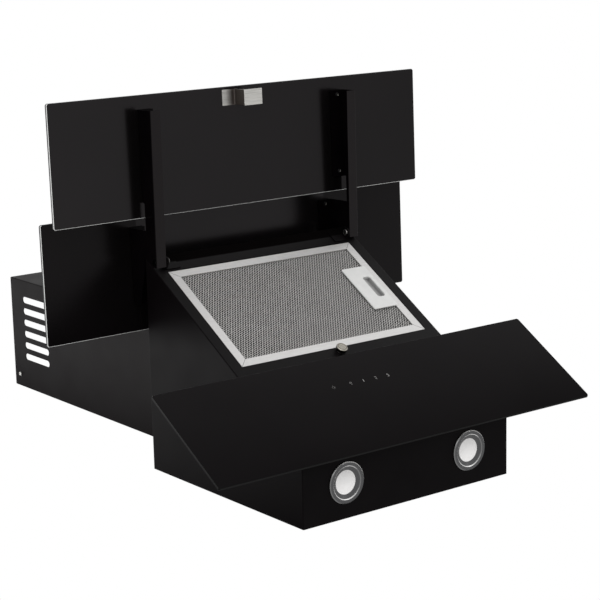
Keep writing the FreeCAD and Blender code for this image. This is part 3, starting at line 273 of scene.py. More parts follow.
filterMetal = {
    "dark": srgb(207, 206, 205),
    "light": srgb(215, 214, 213),
    "blotch": 0.0022,
    "stretch": (0.3, 1, 1),
    "rough": (0.38, 0.44),
    "grain": 0.0006,
    "grainStretch": (0.1, 1, 1),
    "grainDepth": 0.000006,
    "fixed": {"Metallic": 0.7},
}
strandMetal = {
    "dark": srgb(238, 237, 235),
    "light": srgb(250, 249, 247),
    "blotch": 0.02,
    "rough": (0.34, 0.42),
    "grain": 0.0008,
    "grainDepth": 0.00001,
    "fixed": {"Metallic": 0.2},
}
latchGrey = {  # silver paint over moulded plastic
    "dark": srgb(212, 213, 212),
    "light": srgb(219, 220, 219),
    "blotch": 0.012,
    "rough": (0.38, 0.46),
    "grain": 0.0004,
    "grainDepth": 0.00001,
    "fixed": {"Metallic": 0.1, "Specular IOR Level": 0.4},
}
motorMetal = {
    "dark": srgb(118, 119, 121),
    "light": srgb(146, 147, 149),
    "blotch": 0.006,
    "rough": (0.38, 0.52),
    "grain": 0.0009,
    "grainDepth": 0.00005,
    "fixed": {"Metallic": 0.9},
}

magnetPot = {  # dull pole face with a groove round it; the faces that don't face out are darker
    "dark": srgb(150, 146, 136),
    "light": srgb(162, 158, 149),
    "groove": srgb(92, 88, 82),
    "grooveAt": 0.0056,  # radius
    "grooveWidth": 0.0007,
    "sideTone": srgb(34, 33, 32),
    "poleLean": 0.6,  # least facing out that counts as the pole
    "blotch": 0.002,
    "rough": (0.22, 0.34),
    "grain": 0.0005,
    "grainDepth": 0.00001,
    "fixed": {"Metallic": 0.9},
}


def magnetFinish(spec):
    mat, tree, shader, coords = newFinish("magnetPot", spec["fixed"])
    blotch, colour = coloured(tree, coords, spec)
    _, ups, _ = spanOf(slopePoints("catch_magnet"))
    side = along(tree, coords, (1, 0, 0))
    up = mathOf(tree, "SUBTRACT", along(tree, coords, slopeUp), (ups[0] + ups[1]) / 2)
    radius = mathOf(tree, "SQRT", squareSum(tree, side, up))
    fromGroove = mathOf(tree, "ABSOLUTE", mathOf(tree, "SUBTRACT", radius, spec["grooveAt"]))
    groove = below(tree, fromGroove, spec["grooveWidth"] / 2)
    pole = mixOf(tree, groove, colour, spec["groove"])
    top = above(tree, facing(tree, coords, slopeOut), spec["poleLean"])
    wire(tree, shader, "Base Color", mixOf(tree, top, spec["sideTone"], pole))
    grained(tree, shader, coords, spec, blotch)
    return mat


coverSheet = dict(
    blackSheet,
    dark=srgb(13, 10, 11),
    light=srgb(16, 13, 14),
    sheen=0.033,  # at the piece's middle; a painted sheen, fitted to grow away from the wall as the light on the piece does
    sheenRise=(0, -0.265, 0.008),  # change per metre
    sheenMost=0.038,
)


def coverFinish(spec):
    mat, tree, shader, coords = newFinish("coverSheet", {})
    blotch, colour = coloured(tree, coords, spec)
    wire(tree, shader, "Base Color", colour)
    # painted sheen: the gloss is graded over the piece to copy how the light falls on it
    gloss = sheenOf(tree, coords, spec, "chimney_cover")
    wire(tree, shader, "Specular IOR Level", gloss)
    grained(tree, shader, coords, spec, blotch)
    return mat


canopySheet = dict(
    blackSheet,
    # painted sheen: the gloss on the sides grows away from the wall, as the light on them does
    sheen=0.029,
    sheenRise=(0, -0.147, 0.033),
    sheenMost=0.038,
    fadeAlong=(0, -1, 0.17),  # painted shade: the sheen fades again under the door, where its shadow falls
    fadeFrom=0.19,
    fadeTo=0.235,
    fadeKeep=0.2,
    sideLean=0.9,  # least facing that counts as a side
    faceGloss=0.086,  # round the filter, a painted sheen
    faceLean=0.98,
    # painted shadow of the door: above this level the slope face is painted near black
    shade=srgb(7, 6, 6),
    shadeFrom=15 * mm,  # above the filter, behind the hinge line, where the painted shadow starts
    shadeOver=2 * mm,
)


def canopyFinish(spec):
    mat, tree, shader, coords = newFinish("canopySheet", {})
    blotch, colour = coloured(tree, coords, spec)
    level = spanOf(slopePoints("filter_frame"))[1][1] + spec["shadeFrom"]
    # painted shadow of the door on the slope face, which takes the gloss away there as well
    shade = rangeOf(tree, along(tree, coords, slopeUp), 0, 1, level, level + spec["shadeOver"])
    onFace = above(tree, facing(tree, coords, slopeOut), spec["faceLean"])
    shade = times(tree, shade, onFace)
    wire(tree, shader, "Base Color", mixOf(tree, shade, colour, spec["shade"]))
    # painted sheen on the sides and round the filter, faded under the door
    even = spec["fixed"]["Specular IOR Level"]
    sideways = mathOf(tree, "ABSOLUTE", facing(tree, coords, (1, 0, 0)))
    onSide = above(tree, sideways, spec["sideLean"])
    under = along(tree, coords, spec["fadeAlong"])
    fade = rangeOf(tree, under, 1, spec["fadeKeep"], spec["fadeFrom"], spec["fadeTo"])
    sheen = times(tree, sheenOf(tree, coords, spec, "canopy_shell"), fade)
    change = mathOf(tree, "SUBTRACT", sheen, even)
    gloss = mathOf(tree, "ADD", times(tree, onSide, change), even)
    gloss = mathOf(tree, "ADD", times(tree, onFace, spec["faceGloss"] - even), gloss)
    gloss = times(tree, gloss, mathOf(tree, "SUBTRACT", 1.0, shade))
    wire(tree, shader, "Specular IOR Level", gloss)
    grained(tree, shader, coords, spec, blotch)
    return mat


armSheet = dict(
    blackSheet,
    # painted shade: the arms are darker than the other black sheet, for the dark panes they mirror
    dark=srgb(4, 3, 4),
    light=srgb(7, 5, 6),
    rough=(0.2, 0.26),
    front=srgb(24, 21, 22),  # painted sheen on the outer flange, which lies as the panes do and takes their light
    frontGloss=0.09,
    frontDepth=5 * mm,  # it leans by this much along the arm
    frontLean=0.9,
)


def armFinish(spec):
    mat, tree, shader, coords = newFinish("armSheet", {})
    blotch, colour = coloured(tree, coords, spec)
    front = max(-doorOut.dot(v.co) for v in cadNodes["door_arm_left"].data.vertices)
    ahead = above(tree, along(tree, coords, -doorOut), front - spec["frontDepth"])
    level = above(tree, facing(tree, coords, -doorOut), spec["frontLean"])
    # painted sheen: the outer flange is lighter and glossier than the rest of the arm
    litFlange = times(tree, ahead, level)
    wire(tree, shader, "Base Color", mixOf(tree, litFlange, colour, spec["front"]))
    even = spec["fixed"]["Specular IOR Level"]
    gloss = rangeOf(tree, litFlange, even, spec["frontGloss"], 0, 1)
    wire(tree, shader, "Specular IOR Level", gloss)
    grained(tree, shader, coords, spec, blotch)
    return mat


hingePin = dict(
    brightSteel,
    head=srgb(12, 12, 12),  # painted with the arm
    headFrom=0.1662,  # from the hood's middle
)
# painted shade: the left pin is a darker copy of the same steel, lying in the arm's shade
hingePinShaded = dict(hingePin, dark=srgb(84, 83, 81), light=srgb(96, 95, 93))


def pinFinish(name, spec):
    mat, tree, shader, coords = newFinish(name, spec["fixed"])
    blotch, colour = coloured(tree, coords, spec)
    head = above(tree, aside(tree, coords), spec["headFrom"])
    wire(tree, shader, "Base Color", mixOf(tree, head, colour, spec["head"]))
    grained(tree, shader, coords, spec, blotch)
    return mat


zincSheet = {
    "spangle": 0.011,  # size of the zinc flowers
    "tones": [srgb(150, 153, 156), srgb(172, 175, 178), srgb(190, 192, 194)],
    "rough": (0.32, 0.5),
    "grainDepth": 0.00001,
    "fixed": {"Metallic": 0.95},
}


def zincFinish(spec):
    mat, tree, shader, coords = newFinish("zincSheet", spec["fixed"])
    flowers = cellsOf(tree, coords, spec["spangle"])
    split = tree.nodes.new("ShaderNodeSeparateColor")
    tree.links.new(flowers.outputs["Color"], split.inputs["Color"])
    stops = list(zip((0.0, 0.5, 1.0), spec["tones"]))
    wire(tree, shader, "Base Color", rampOf(tree, split.outputs["Red"], stops))
    rough = rangeOf(tree, split.outputs["Green"], *spec["rough"], 0, 1)
    wire(tree, shader, "Roughness", rough)
    bumpOf(tree, shader, flowers.outputs["Distance"], spec["grainDepth"])
    return mat


doorGlass = {
    "face": srgb(8, 7, 7),
    "faceDrift": srgb(11, 9, 10),
    "tint": (1.0, 0.94, 0.97, 1.0),  # of what the glass mirrors
    "edge": srgb(22, 24, 24),  # ground edge of tinted glass
    "paintedHighlight": (  # painted highlights on the arrises, by the way they face the light
        ((0, 1, 0), srgb(226, 228, 227)),
        ((-1, 0, 0), srgb(226, 228, 227)),
    ),
    "gloss": 0.04,
    "enamel": 0.18,  # fired enamel on the inner side
    "edgeRough": 0.3,
    "driftSize": 0.12,
    "broadLean": 0.985,  # least facing that counts as a broad side
    "arrisLean": 0.3,
    # painted sheen: the gloss across each pane is fitted to how the light falls on it
    "sheen": 0.171,
    "sheenRise": (-0.135, 0, 0),
    "sheenMost": 0.21,
    "middleGloss": 0.0,  # painted sheen: more gloss on the inner side between the arms
    "armsAt": 0.157,
}
controlGlass = dict(
    doorGlass,
    face=srgb(10, 8, 9),
    faceDrift=srgb(13, 11, 12),
    edge=srgb(17, 17, 17),
    paintedHighlight=(
        ((1, 0, 0), srgb(205, 206, 203)),
        (tuple(slopeUp), srgb(78, 78, 77)),
    ),
    # painted sheen, rising up the strip
    sheen=0.036,
    sheenRise=tuple(slopeUp * 0.2 + Vector((-0.012, 0, 0))),
)
rearGlass = dict(doorGlass, enamel=0.24, sheen=0.093, sheenRise=(0, 0, 0), middleGloss=0.091)


def paneFinish(name, node, normal, spec):
    mat, tree, shader, coords = newFinish(name, {"Specular Tint": spec["tint"]})
    front = facing(tree, coords, normal)
    inner = below(tree, front, 0.0)
    # painted sheen, with more of it between the arms on the inner side
    middle = times(tree, inner, below(tree, aside(tree, coords), spec["armsAt"]))
    more = times(tree, middle, spec["middleGloss"])
    gloss = mathOf(tree, "ADD", sheenOf(tree, coords, spec, node), more)
    wire(tree, shader, "Specular IOR Level", gloss)
    lean = mathOf(tree, "ABSOLUTE", front)
    broad = above(tree, lean, spec["broadLean"])
    slant = above(tree, lean, spec["arrisLean"])
    drift = shadesOf(tree, noiseOf(tree, coords, spec["driftSize"]), spec["face"], spec["faceDrift"])
    rim = spec["edge"]
    # painted highlights on the arrises that face the light
    for direction, tone in spec["paintedHighlight"]:
        arris = above(tree, facing(tree, coords, direction), spec["arrisLean"])
        rim = mixOf(tree, times(tree, slant, arris), rim, tone)
    wire(tree, shader, "Base Color", mixOf(tree, broad, rim, drift))
    sides = rangeOf(tree, inner, spec["gloss"], spec["enamel"], 0, 1)
    ground = times(tree, mathOf(tree, "SUBTRACT", 1.0, broad), spec["edgeRough"])
    wire(tree, shader, "Roughness", mathOf(tree, "ADD", times(tree, broad, sides), ground))
    return mat


lampRing = {
    "satin": srgb(80, 80, 81),
    "bevel": srgb(112, 112, 112),
    "paintedHighlight": srgb(246, 246, 245),  # painted highlight on the two small bevels, where they face the light
    "light": (0.5, -0.87, 0),
    "innerLight": (0.4, 0.92, 0),
    "axis": (0.1005, -0.0455),  # of either lamp, from the hood's middle and the wall
    "innerRadius": 0.0235,  # the inner bevel catches both
    "lightFrom": 0.2,  # facing the light, from none to all
    "lightTo": 0.6,
    "bevelLean": math.sqrt(0.5),  # both stand at 45 degrees
    "bevelRoom": 0.06,
    "metallic": (0.9, 0.2),  # satin, then where the highlight is painted
    "cloud": 0.003,
    "rough": (0.24, 0.34),
    "turning": 0.0006,  # lathe marks
    "turningDepth": 0.000006,
}


def ringFinish(spec):
    mat, tree, shader, coords = newFinish("lampChrome", {})
    level = mathOf(tree, "ABSOLUTE", facing(tree, coords, (0, 0, 1)))
    slant = mathOf(tree, "ABSOLUTE", mathOf(tree, "SUBTRACT", level, spec["bevelLean"]))
    bevel = below(tree, slant, spec["bevelRoom"])
    side = mathOf(tree, "SUBTRACT", aside(tree, coords), spec["axis"][0])
    depth = mathOf(tree, "SUBTRACT", along(tree, coords, (0, 1, 0)), spec["axis"][1])
    inner = below(tree, squareSum(tree, side, depth), spec["innerRadius"] ** 2)
    # painted highlight on the bevels that face a fixed light direction; the inner bevel takes two
    second = times(tree, inner, facing(tree, coords, spec["innerLight"]))
    lit = mathOf(tree, "MAXIMUM", facing(tree, coords, spec["light"]), second)
    front = rangeOf(tree, lit, 0, 1, spec["lightFrom"], spec["lightTo"])
    tone = mixOf(tree, front, spec["bevel"], spec["paintedHighlight"])
    wire(tree, shader, "Base Color", mixOf(tree, bevel, spec["satin"], tone))
    shine = times(tree, bevel, front)
    wire(tree, shader, "Metallic", rangeOf(tree, shine, *spec["metallic"], 0, 1))
    rough = rangeOf(tree, noiseOf(tree, coords, spec["cloud"]), *spec["rough"])
    wire(tree, shader, "Roughness", rough)
    bumpOf(tree, shader, noiseOf(tree, coords, spec["turning"]), spec["turningDepth"])
    return mat


lampLens = {
    "white": srgb(255, 255, 255),
    "shade": srgb(212, 212, 212),
    "shadeFrom": -0.0605,  # painted shade on the lens, darkest on the side away from the wall
    "shadeTo": -0.0335,
    "dots": 0.0011,  # moulded pips
    "dotDepth": 0.00003,
    "cloud": 0.012,
    "rough": (0.3, 0.42),
    "fixed": {"Specular IOR Level": 0.45},
}


def lensFinish(spec):
    mat, tree, shader, coords = newFinish("frostedLens", spec["fixed"])
    # painted shade across the lens, from the side away from the wall
    across = rangeOf(tree, along(tree, coords, (0, 1, 0)), 0, 1, spec["shadeFrom"], spec["shadeTo"])
    wire(tree, shader, "Base Color", shadesOf(tree, across, spec["shade"], spec["white"], (0.0, 1.0)))
    rough = rangeOf(tree, noiseOf(tree, coords, spec["cloud"]), *spec["rough"])
    wire(tree, shader, "Roughness", rough)
    bumpOf(tree, shader, cellsOf(tree, coords, spec["dots"]).outputs["Distance"], spec["dotDepth"])
    return mat


circuitBoard = {
    "mask": srgb(24, 78, 44),
    "track": srgb(44, 112, 66),
    "pad": srgb(188, 164, 92),
    "pitch": 0.004,
    "trackWidth": 0.06,
    "padEvery": 1 / 0.6,  # pitches from pad to pad
    "padSize": 0.16,
    "rough": (0.42, 0.3),  # mask, then pads
    "etch": 0.00003,
    "fixed": {"Specular IOR Level": 0.5},
}


def boardFinish(spec):
    mat, tree, shader, coords = newFinish("circuitBoard", spec["fixed"])
    tracks = tree.nodes.new("ShaderNodeTexBrick")
    settings = {
        "Scale": 1 / spec["pitch"],
        "Color1": spec["mask"],
        "Color2": spec["mask"],
        "Mortar": spec["track"],
        "Mortar Size": spec["trackWidth"],
    }
    for socket, value in settings.items():
        tracks.inputs[socket].default_value = value
    tree.links.new(coords.outputs["Object"], tracks.inputs["Vector"])
    dots = cellsOf(tree, coords, spec["pitch"] * spec["padEvery"])
    pads = below(tree, dots.outputs["Distance"], spec["padSize"])
    wire(tree, shader, "Base Color", mixOf(tree, pads, tracks.outputs["Color"], spec["pad"]))
    wire(tree, shader, "Roughness", rangeOf(tree, pads, *spec["rough"], 0, 1))
    bumpOf(tree, shader, tracks.outputs["Fac"], spec["etch"])
    return mat


filterCore = {
    # painted shade: the core is dark, near black in the holes, for the shade under the outer mesh
    "strand": srgb(22, 22, 21),
    "hole": srgb(5, 5, 5),
    "pitch": 0.0026,
    "edgeSpan": (0.08, 0.22),  # from strand to hole, in pitches
    "rough": (0.45, 0.75),
    "roughOver": 0.3,
    "depth": 0.0004,
    "fixed": {"Specular IOR Level": 0.2},
}


def coreFinish(spec):
    mat, tree, shader, coords = newFinish("filterCore", spec["fixed"])
    edge = cellsOf(tree, coords, spec["pitch"], "DISTANCE_TO_EDGE").outputs["Distance"]
    colour = shadesOf(tree, edge, spec["strand"], spec["hole"], spec["edgeSpan"])
    wire(tree, shader, "Base Color", colour)
    wire(tree, shader, "Roughness", rangeOf(tree, edge, *spec["rough"], 0, spec["roughOver"]))
    bumpOf(tree, shader, edge, -spec["depth"])
    return mat


latchScoop = dict(
    latchGrey,
    # painted shade: the slide is darker than the latch's own grey, as it lies down in the slot
    dark=srgb(160, 161, 160),
    light=srgb(168, 169, 168),
    deepShade=srgb(146, 146, 146),  # painted shade, greyer down the ramp
    rampFrom=2 * mm,  # above the slide's back
)


def scoopFinish(spec):
    mat, tree, shader, coords = newFinish("latchScoop", spec["fixed"])
    blotch, colour = coloured(tree, coords, spec)
    _, _, outs = spanOf(slopePoints("latch_slider"))
    # painted shade deepening down the ramp
    depth = rangeOf(tree, along(tree, coords, slopeOut), 1, 0, outs[0] + spec["rampFrom"], outs[1])
    wire(tree, shader, "Base Color", mixOf(tree, depth, colour, spec["deepShade"]))
    grained(tree, shader, coords, spec, blotch)
    return mat


strikeSteel = dict(
    brightSteel,
    fixed={"Metallic": 0.6},
    rough=(0.36, 0.46),
    shade=srgb(70, 64, 60),  # the bent foot turns away from the light
    shadeLeast=0.1,  # share of it at the left end
    shadeFrom=-0.029,
    shadeTo=-0.019,
    faceFrom=-0.0145,
)


def strikeFinish(spec):
    mat, tree, shader, coords = newFinish("strikeSteel", spec["fixed"])
    blotch, colour = coloured(tree, coords, spec)
    side = along(tree, coords, (1, 0, 0))
    shade = rangeOf(tree, side, spec["shadeLeast"], 1, spec["shadeFrom"], spec["shadeTo"])
    foot = times(tree, shade, below(tree, side, spec["faceFrom"]))
    wire(tree, shader, "Base Color", mixOf(tree, foot, colour, spec["shade"]))
    grained(tree, shader, coords, spec, blotch)
    return mat


finishes = {
    "black_sheet": plainFinish("blackSheet", blackSheet),
    "zinc_sheet": zincFinish(zincSheet),
    "bright_steel": plainFinish("brightSteel", brightSteel),
    "filter_metal": plainFinish("filterMetal", filterMetal),
    "filter_mesh": coreFinish(filterCore),
    "latch_grey": plainFinish("latchGrey", latchGrey),
    "lamp_chrome": ringFinish(lampRing),
    "lamp_lens": lensFinish(lampLens),
    "magnet": magnetFinish(magnetPot),
    "dark_plastic": plainFinish("darkPlastic", darkPlastic),
    "white_plastic": plainFinish("whitePlastic", whitePlastic),
    "motor_metal": plainFinish("motorMetal", motorMetal),
    "board_green": boardFinish(circuitBoard),
}
armBlack = armFinish(armSheet)
canopyBlack = canopyFinish(canopySheet)
ownFinish = {  # pieces that differ from the rest of their slot
    "canopy_shell": canopyBlack,
    "chimney_cover": coverFinish(coverSheet),
    "door_arm_left": armBlack,
    "door_arm_right": armBlack,
    "hinge_bracket_left": canopyBlack,
    "hinge_bracket_right": canopyBlack,
    "control_glass": paneFinish("controlGlass", "control_glass", slopeOut, controlGlass),
    "door_glass_lower": paneFinish("doorGlass", "door_glass_lower", doorOut, doorGlass),
    "door_glass_upper": paneFinish("rearGlass", "door_glass_upper", doorOut, rearGlass),
    "latch_slider": scoopFinish(latchScoop),
    "strike_plate": strikeFinish(strikeSteel),
    "hinge_pin_left": pinFinish("hingePinShaded", hingePinShaded),
    "hinge_pin_right": pinFinish("hingePin", hingePin),
}
for name, piece in cadNodes.items():
    slotName = piece.data.materials[0].name.split(".")[0]
    piece.data.materials[0] = ownFinish.get(name) or finishes[slotName]
print("finishes:", len(bpy.data.materials), "made and laid on the CAD pieces")


# pieces made here
def meshPiece(name, verts, faces, finish, body="hood"):
    data = bpy.data.meshes.new(name)
    data.from_pydata([tuple(v) for v in verts], [], faces)
    data.validate()
    data.materials.append(finish)
    piece = bpy.data.objects.new(name, data)
    bpy.context.scene.collection.objects.link(piece)
    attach(piece, body)
    return piece


def onSlope(side, up, out):
    return Vector((side, 0, 0)) + slopeUp * up + slopeOut * out


expandedMesh = {
    "shortWay": 4.0 * mm,  # one diamond across the hood
    "longWay": 6.4 * mm,  # and up the slope
    "strand": 0.355 * mm,
    "gauge": 0.2 * mm,
    "tilt": math.radians(8),
    "roomRound": 0.4 * mm,  # clear of the latch box
    "plateDepth": 4 * mm,  # of the latch's plate, in front of that box
}


def makeExpandedMesh(spec):
    sides, ups, outs = spanOf(slopePoints("filter_mesh"))
    housing = slopePoints("latch_housing")
    plateBack = max(p[2] for p in housing) - spec["plateDepth"]
    boxSides, boxUps, _ = spanOf([p for p in housing if p[2] < plateBack])
    columns = round((sides[1] - sides[0]) / (spec["shortWay"] / 2)) - 1
    rows = round((ups[1] - ups[0]) / (spec["longWay"] / 2)) - 1
    stepSide = (sides[1] - sides[0] - spec["strand"]) / columns
    stepUp = (ups[1] - ups[0]) / rows
    middle = (outs[0] + outs[1]) / 2
    lean = spec["tilt"]
    wide = (math.cos(lean) * spec["strand"] / 2, math.sin(lean) * spec["strand"] / 2)
    thick = (-math.sin(lean) * spec["gauge"] / 2, math.cos(lean) * spec["gauge"] / 2)
    corners = ((-1, -1), (1, -1), (1, 1), (-1, 1))
    section = [(u * wide[0] + v * thick[0], u * wide[1] + v * thick[1]) for u, v in corners]
    room = spec["roomRound"] + spec["strand"]
    verts, faces = [], []

    def layStrand(points):
        base = len(verts)
        for side, up in points:
            verts.extend(onSlope(side + s, up, middle + o) for s, o in section)
        for k in range(len(points) - 1):
            ring = base + 4 * k
            for i in range(4):
                j = (i + 1) % 4
                faces.append((ring + i, ring + j, ring + 4 + j, ring + 4 + i))
        last = base + 4 * (len(points) - 1)
        faces.append((base + 3, base + 2, base + 1, base))
        faces.append((last, last + 1, last + 2, last + 3))

    for column in range(columns):
        run = []
        for row in range(rows + 1):
            side = sides[0] + spec["strand"] / 2 + (column + (column + row) % 2) * stepSide
            up = ups[0] + row * stepUp
            inBox = boxSides[0] - room < side < boxSides[1] + room
            inBox = inBox and boxUps[0] - room < up < boxUps[1] + room
            if not inBox:
                run.append((side, up))
            if (inBox or row == rows) and len(run) > 1:
                layStrand(run)
            if inBox:
                run = []
    metal = plainFinish("strandMetal", strandMetal)
    piece = meshPiece("expandedMesh", verts, faces, metal)
    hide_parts("filter_mesh")
    print("expanded mesh:", columns, "strands of", rows, "bends")


makeExpandedMesh(expandedMesh)

controlMarks = {
    "fromTop": 48.7 * mm,  # below the strip's upper edge
    "places": (-57.5 * mm, -29.7 * mm, -9.5 * mm, 10.7 * mm, 30.7 * mm),
    "height": 4.2 * mm,
    "lines": (0.17 * mm, 0.2 * mm, 0.55 * mm, 0.34 * mm, 0.44 * mm),
    "film": 0.03 * mm,  # ink over the glass
    "ink": srgb(196, 195, 194),
    "inkThin": srgb(176, 175, 174),
    "speck": 0.6 * mm,
    "rough": (0.4, 0.55),
    "fixed": {"Specular IOR Level": 0.3},
}


def inkFinish(spec):
    mat, tree, shader, coords = newFinish("markInk", spec["fixed"])
    speck = noiseOf(tree, coords, spec["speck"])
    wire(tree, shader, "Base Color", shadesOf(tree, speck, spec["inkThin"], spec["ink"]))
    wire(tree, shader, "Roughness", rangeOf(tree, speck, *spec["rough"]))
    return mat


def strokeFaces(points, width, verts):
    faces, base, last = [], len(verts), len(points) - 1
    for k, point in enumerate(points):
        before, after = Vector(points[max(k - 1, 0)]), Vector(points[min(k + 1, last)])
        heading = (after - before).normalized()
        across = Vector((-heading.y, heading.x)) * width / 2
        verts += [Vector(point) + across, Vector(point) - across]
    for k in range(last):
        a = base + 2 * k
        faces.append((a, a + 1, a + 3, a + 2))
    return faces


def arcPoints(centre, radius, start, stop, count):
    turns = [math.radians(start + (stop - start) * k / (count - 1)) for k in range(count)]
    return [(centre[0] + radius * math.cos(t), centre[1] + radius * math.sin(t)) for t in turns]


markShapes = {  # strokes of each mark, one unit high
    "markPower": [arcPoints((0, -0.06), 0.42, 125, 415, 26), [(0, 0.02), (0, 0.5)]],
    "markLight": [
        arcPoints((0, 0.14), 0.34, -52, 232, 24),
        [(-0.17, -0.32), (0.17, -0.32)],
        [(-0.12, -0.48), (0.12, -0.48)],
    ],
    "markOne": [[(-0.16, 0.3), (0.02, 0.5), (0.02, -0.5)]],
    "markTwo": [arcPoints((0, 0.22), 0.27, 165, -35, 14) + [(-0.29, -0.48), (0.31, -0.48)]],
    "markThree": [
        arcPoints((-0.02, 0.25), 0.25, 155, -88, 14) + arcPoints((-0.02, -0.24), 0.27, 86, -158, 14)
    ],
}


def makeMarks(spec):
    ink = inkFinish(spec)
    _, ups, outs = spanOf(slopePoints("control_glass"))
    line = ups[1] - spec["fromTop"]
    for (name, strokes), side, width in zip(markShapes.items(), spec["places"], spec["lines"]):
        verts, faces = [], []
        for stroke in strokes:
            scaled = [(x * spec["height"], y * spec["height"]) for x, y in stroke]
            faces += strokeFaces(scaled, width, verts)
        count = len(verts)
        solid = [onSlope(side + v.x, line + v.y, outs[1] + spec["film"]) for v in verts]
        solid += [onSlope(side + v.x, line + v.y, outs[1]) for v in verts]
        edges = {(f[k], f[(k + 1) % 4]) for f in faces for k in range(4)}
        rims = [(j, i, i + count, j + count) for i, j in edges if (j, i) not in edges]
        backs = [tuple(i + count for i in reversed(f)) for f in faces]
        meshPiece(name, solid, faces + backs + sorted(rims), ink)
    print("control strip:", len(markShapes), "marks printed")


makeMarks(controlMarks)

mitreSeams = {
    "inset": 0.2 * mm,  # from the frame's corner
    "border": 12 * mm,
    "width": 0.4 * mm,
    "proud": 0.04 * mm,
}


def makeMitres(spec):
    sides, ups, outs = spanOf(slopePoints("filter_frame"))
    half = min(-sides[0], sides[1])  # the tabs stick out on one side only
    verts, faces = [], []
    for side, up in ((-1, 0), (1, 0), (1, 1), (-1, 1)):
        inward = Vector((-side, 1 - 2 * up))
        corner = Vector((side * half, ups[up]))
        start, stop = corner + inward * spec["inset"], corner + inward * spec["border"]
        across = Vector((-inward.y, inward.x)).normalized() * spec["width"] / 2
        base = len(verts)
        for lift in (spec["proud"], -spec["proud"]):
            for point in (start - across, start + across, stop + across, stop - across):
                verts.append(onSlope(point.x, point.y, outs[1] + lift))
        faces += [(base, base + 3, base + 2, base + 1), (base + 4, base + 5, base + 6, base + 7)]
        for k in range(4):
            j = (k + 1) % 4
            faces.append((base + k, base + j, base + 4 + j, base + 4 + k))
    meshPiece("mitreSeams", verts, faces, finishes["dark_plastic"])
    print("filter frame: four mitres cut")


makeMitres(mitreSeams)


def makeLeafSpring():
    source = cadNodes["latch_spring"].data
    verts = [v.co.copy() for v in source.vertices]
    faces = [tuple(p.vertices) for p in source.polygons]
    piece = meshPiece("leafSpring", verts, faces, finishes["bright_steel"])
    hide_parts("latch_spring")
    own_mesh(piece)


makeLeafSpring()

doorScrews = {
    "hinge": (0, -283.054 * mm, 139.023 * mm),
    "across": 157 * mm,
    "rows": (  # height of the seat, then places along the arm
        (19.7 * mm, (-84 * mm, -190 * mm)),
        (54.6 * mm, (-34 * mm, 45 * mm)),
    ),
    "headRadius": 2.8 * mm,
    "headHeight": 2.0 * mm,
    "shankRadius": 1.9 * mm,
    "shankLength": 3.2 * mm,
    "recess": (0.2, 0.46, 0.3),  # cross: half width, reach and depth, as shares of the head
}
chimneyScrews = {
    "across": 86 * mm,
    "depth": 19 * mm,
    "height": 669 * mm,
    "headRadius": 3.0 * mm,
    "headHeight": 1.8 * mm,
    "shankRadius": 2.0 * mm,
    "shankLength": 5.0 * mm,
    "recess": (0.26, 0.54, 0.2),
}
screwForm = {
    "sides": 24,  # two for each corner of the cross
    "shoulder": 0.45,  # shares of the head's height and radius
    "crown": 0.74,
}


def screwShape(spec, place, outward, verts, faces, drives):
    across = outward.orthogonal().normalized()
    third = outward.cross(across)
    head, tall = spec["headRadius"], spec["headHeight"]
    sides, corners = screwForm["sides"], screwForm["sides"] // 2
    base = len(verts)

    def point(radius, turn, lift):
        turned = across * math.cos(turn) + third * math.sin(turn)
        verts.append(place + turned * radius + outward * lift)

    rings = [
        (spec["shankRadius"], -spec["shankLength"]),
        (spec["shankRadius"], 0),
        (head, 0),
        (head, screwForm["shoulder"] * tall),
        (screwForm["crown"] * head, tall),
    ]
    for radius, lift in rings:
        for k in range(sides):
            point(radius, math.tau * (k - 1) / sides, lift)
    arm, tip, depth = spec["recess"]
    arm, tip = arm * head, tip * head
    for lift in (tall, (1 - depth) * tall):
        for k in range(4):
            for x, y in ((tip, -arm), (tip, arm), (arm, arm)):
                point(math.hypot(x, y), math.atan2(y, x) + k * math.pi / 2, lift)
    for r in range(len(rings) - 1):
        low = base + r * sides
        for i in range(sides):
            j = (i + 1) % sides
            faces.append((low + i, low + j, low + sides + j, low + sides + i))
    faces.append(tuple(base + k for k in reversed(range(sides))))
    rim = base + (len(rings) - 1) * sides
    cross, floor = rim + sides, rim + sides + corners
    for i in range(corners):
        j = (i + 1) % corners
        faces.append((rim + 2 * i, rim + 2 * i + 1, rim + 2 * j, cross + j, cross + i))
    drives += range(len(faces), len(faces) + corners + 1)
    for i in range(corners):
        j = (i + 1) % corners
        faces.append((cross + i, cross + j, floor + j, floor + i))
    faces.append(tuple(floor + i for i in range(corners)))


def makeScrews(name, body, spec, places, outwards, finish):
    verts, faces, drives = [], [], []
    for place, outward in zip(places, outwards):
        screwShape(spec, place, outward, verts, faces, drives)
    piece = meshPiece(name, verts, faces, finish, body)
    piece.data.materials.append(finishes["bright_steel"])
    for face in drives:
        piece.data.polygons[face].material_index = 1  # bright steel in the recess; on the black door screws it stands for the glint on each head, a painted glint
    print("screws:", len(places), "of", name)


def makeAllScrews(door, chimney):
    black = plainFinish("screwBlack", screwBlack)
    doorUp = Vector((0, math.cos(doorTurn), math.sin(doorTurn)))
    places = []
    for side in (-1, 1):
        for seat, lines in door["rows"]:
            for line in lines:
                place = Vector(door["hinge"]) + doorUp * line + doorOut * seat
                places.append(place + Vector((side * door["across"], 0, 0)))
    makeScrews("doorScrews", "door", door, places, [-doorOut] * len(places), black)
    ends = [Vector((side, 0, 0)) for side in (-1, 1)]
    low = Vector((0, -chimney["depth"], chimney["height"]))
    places = [low + end * chimney["across"] for end in ends]
    makeScrews("chimneyScrews", "hood", chimney, places, ends, finishes["bright_steel"])


makeAllScrews(doorScrews, chimneyScrews)

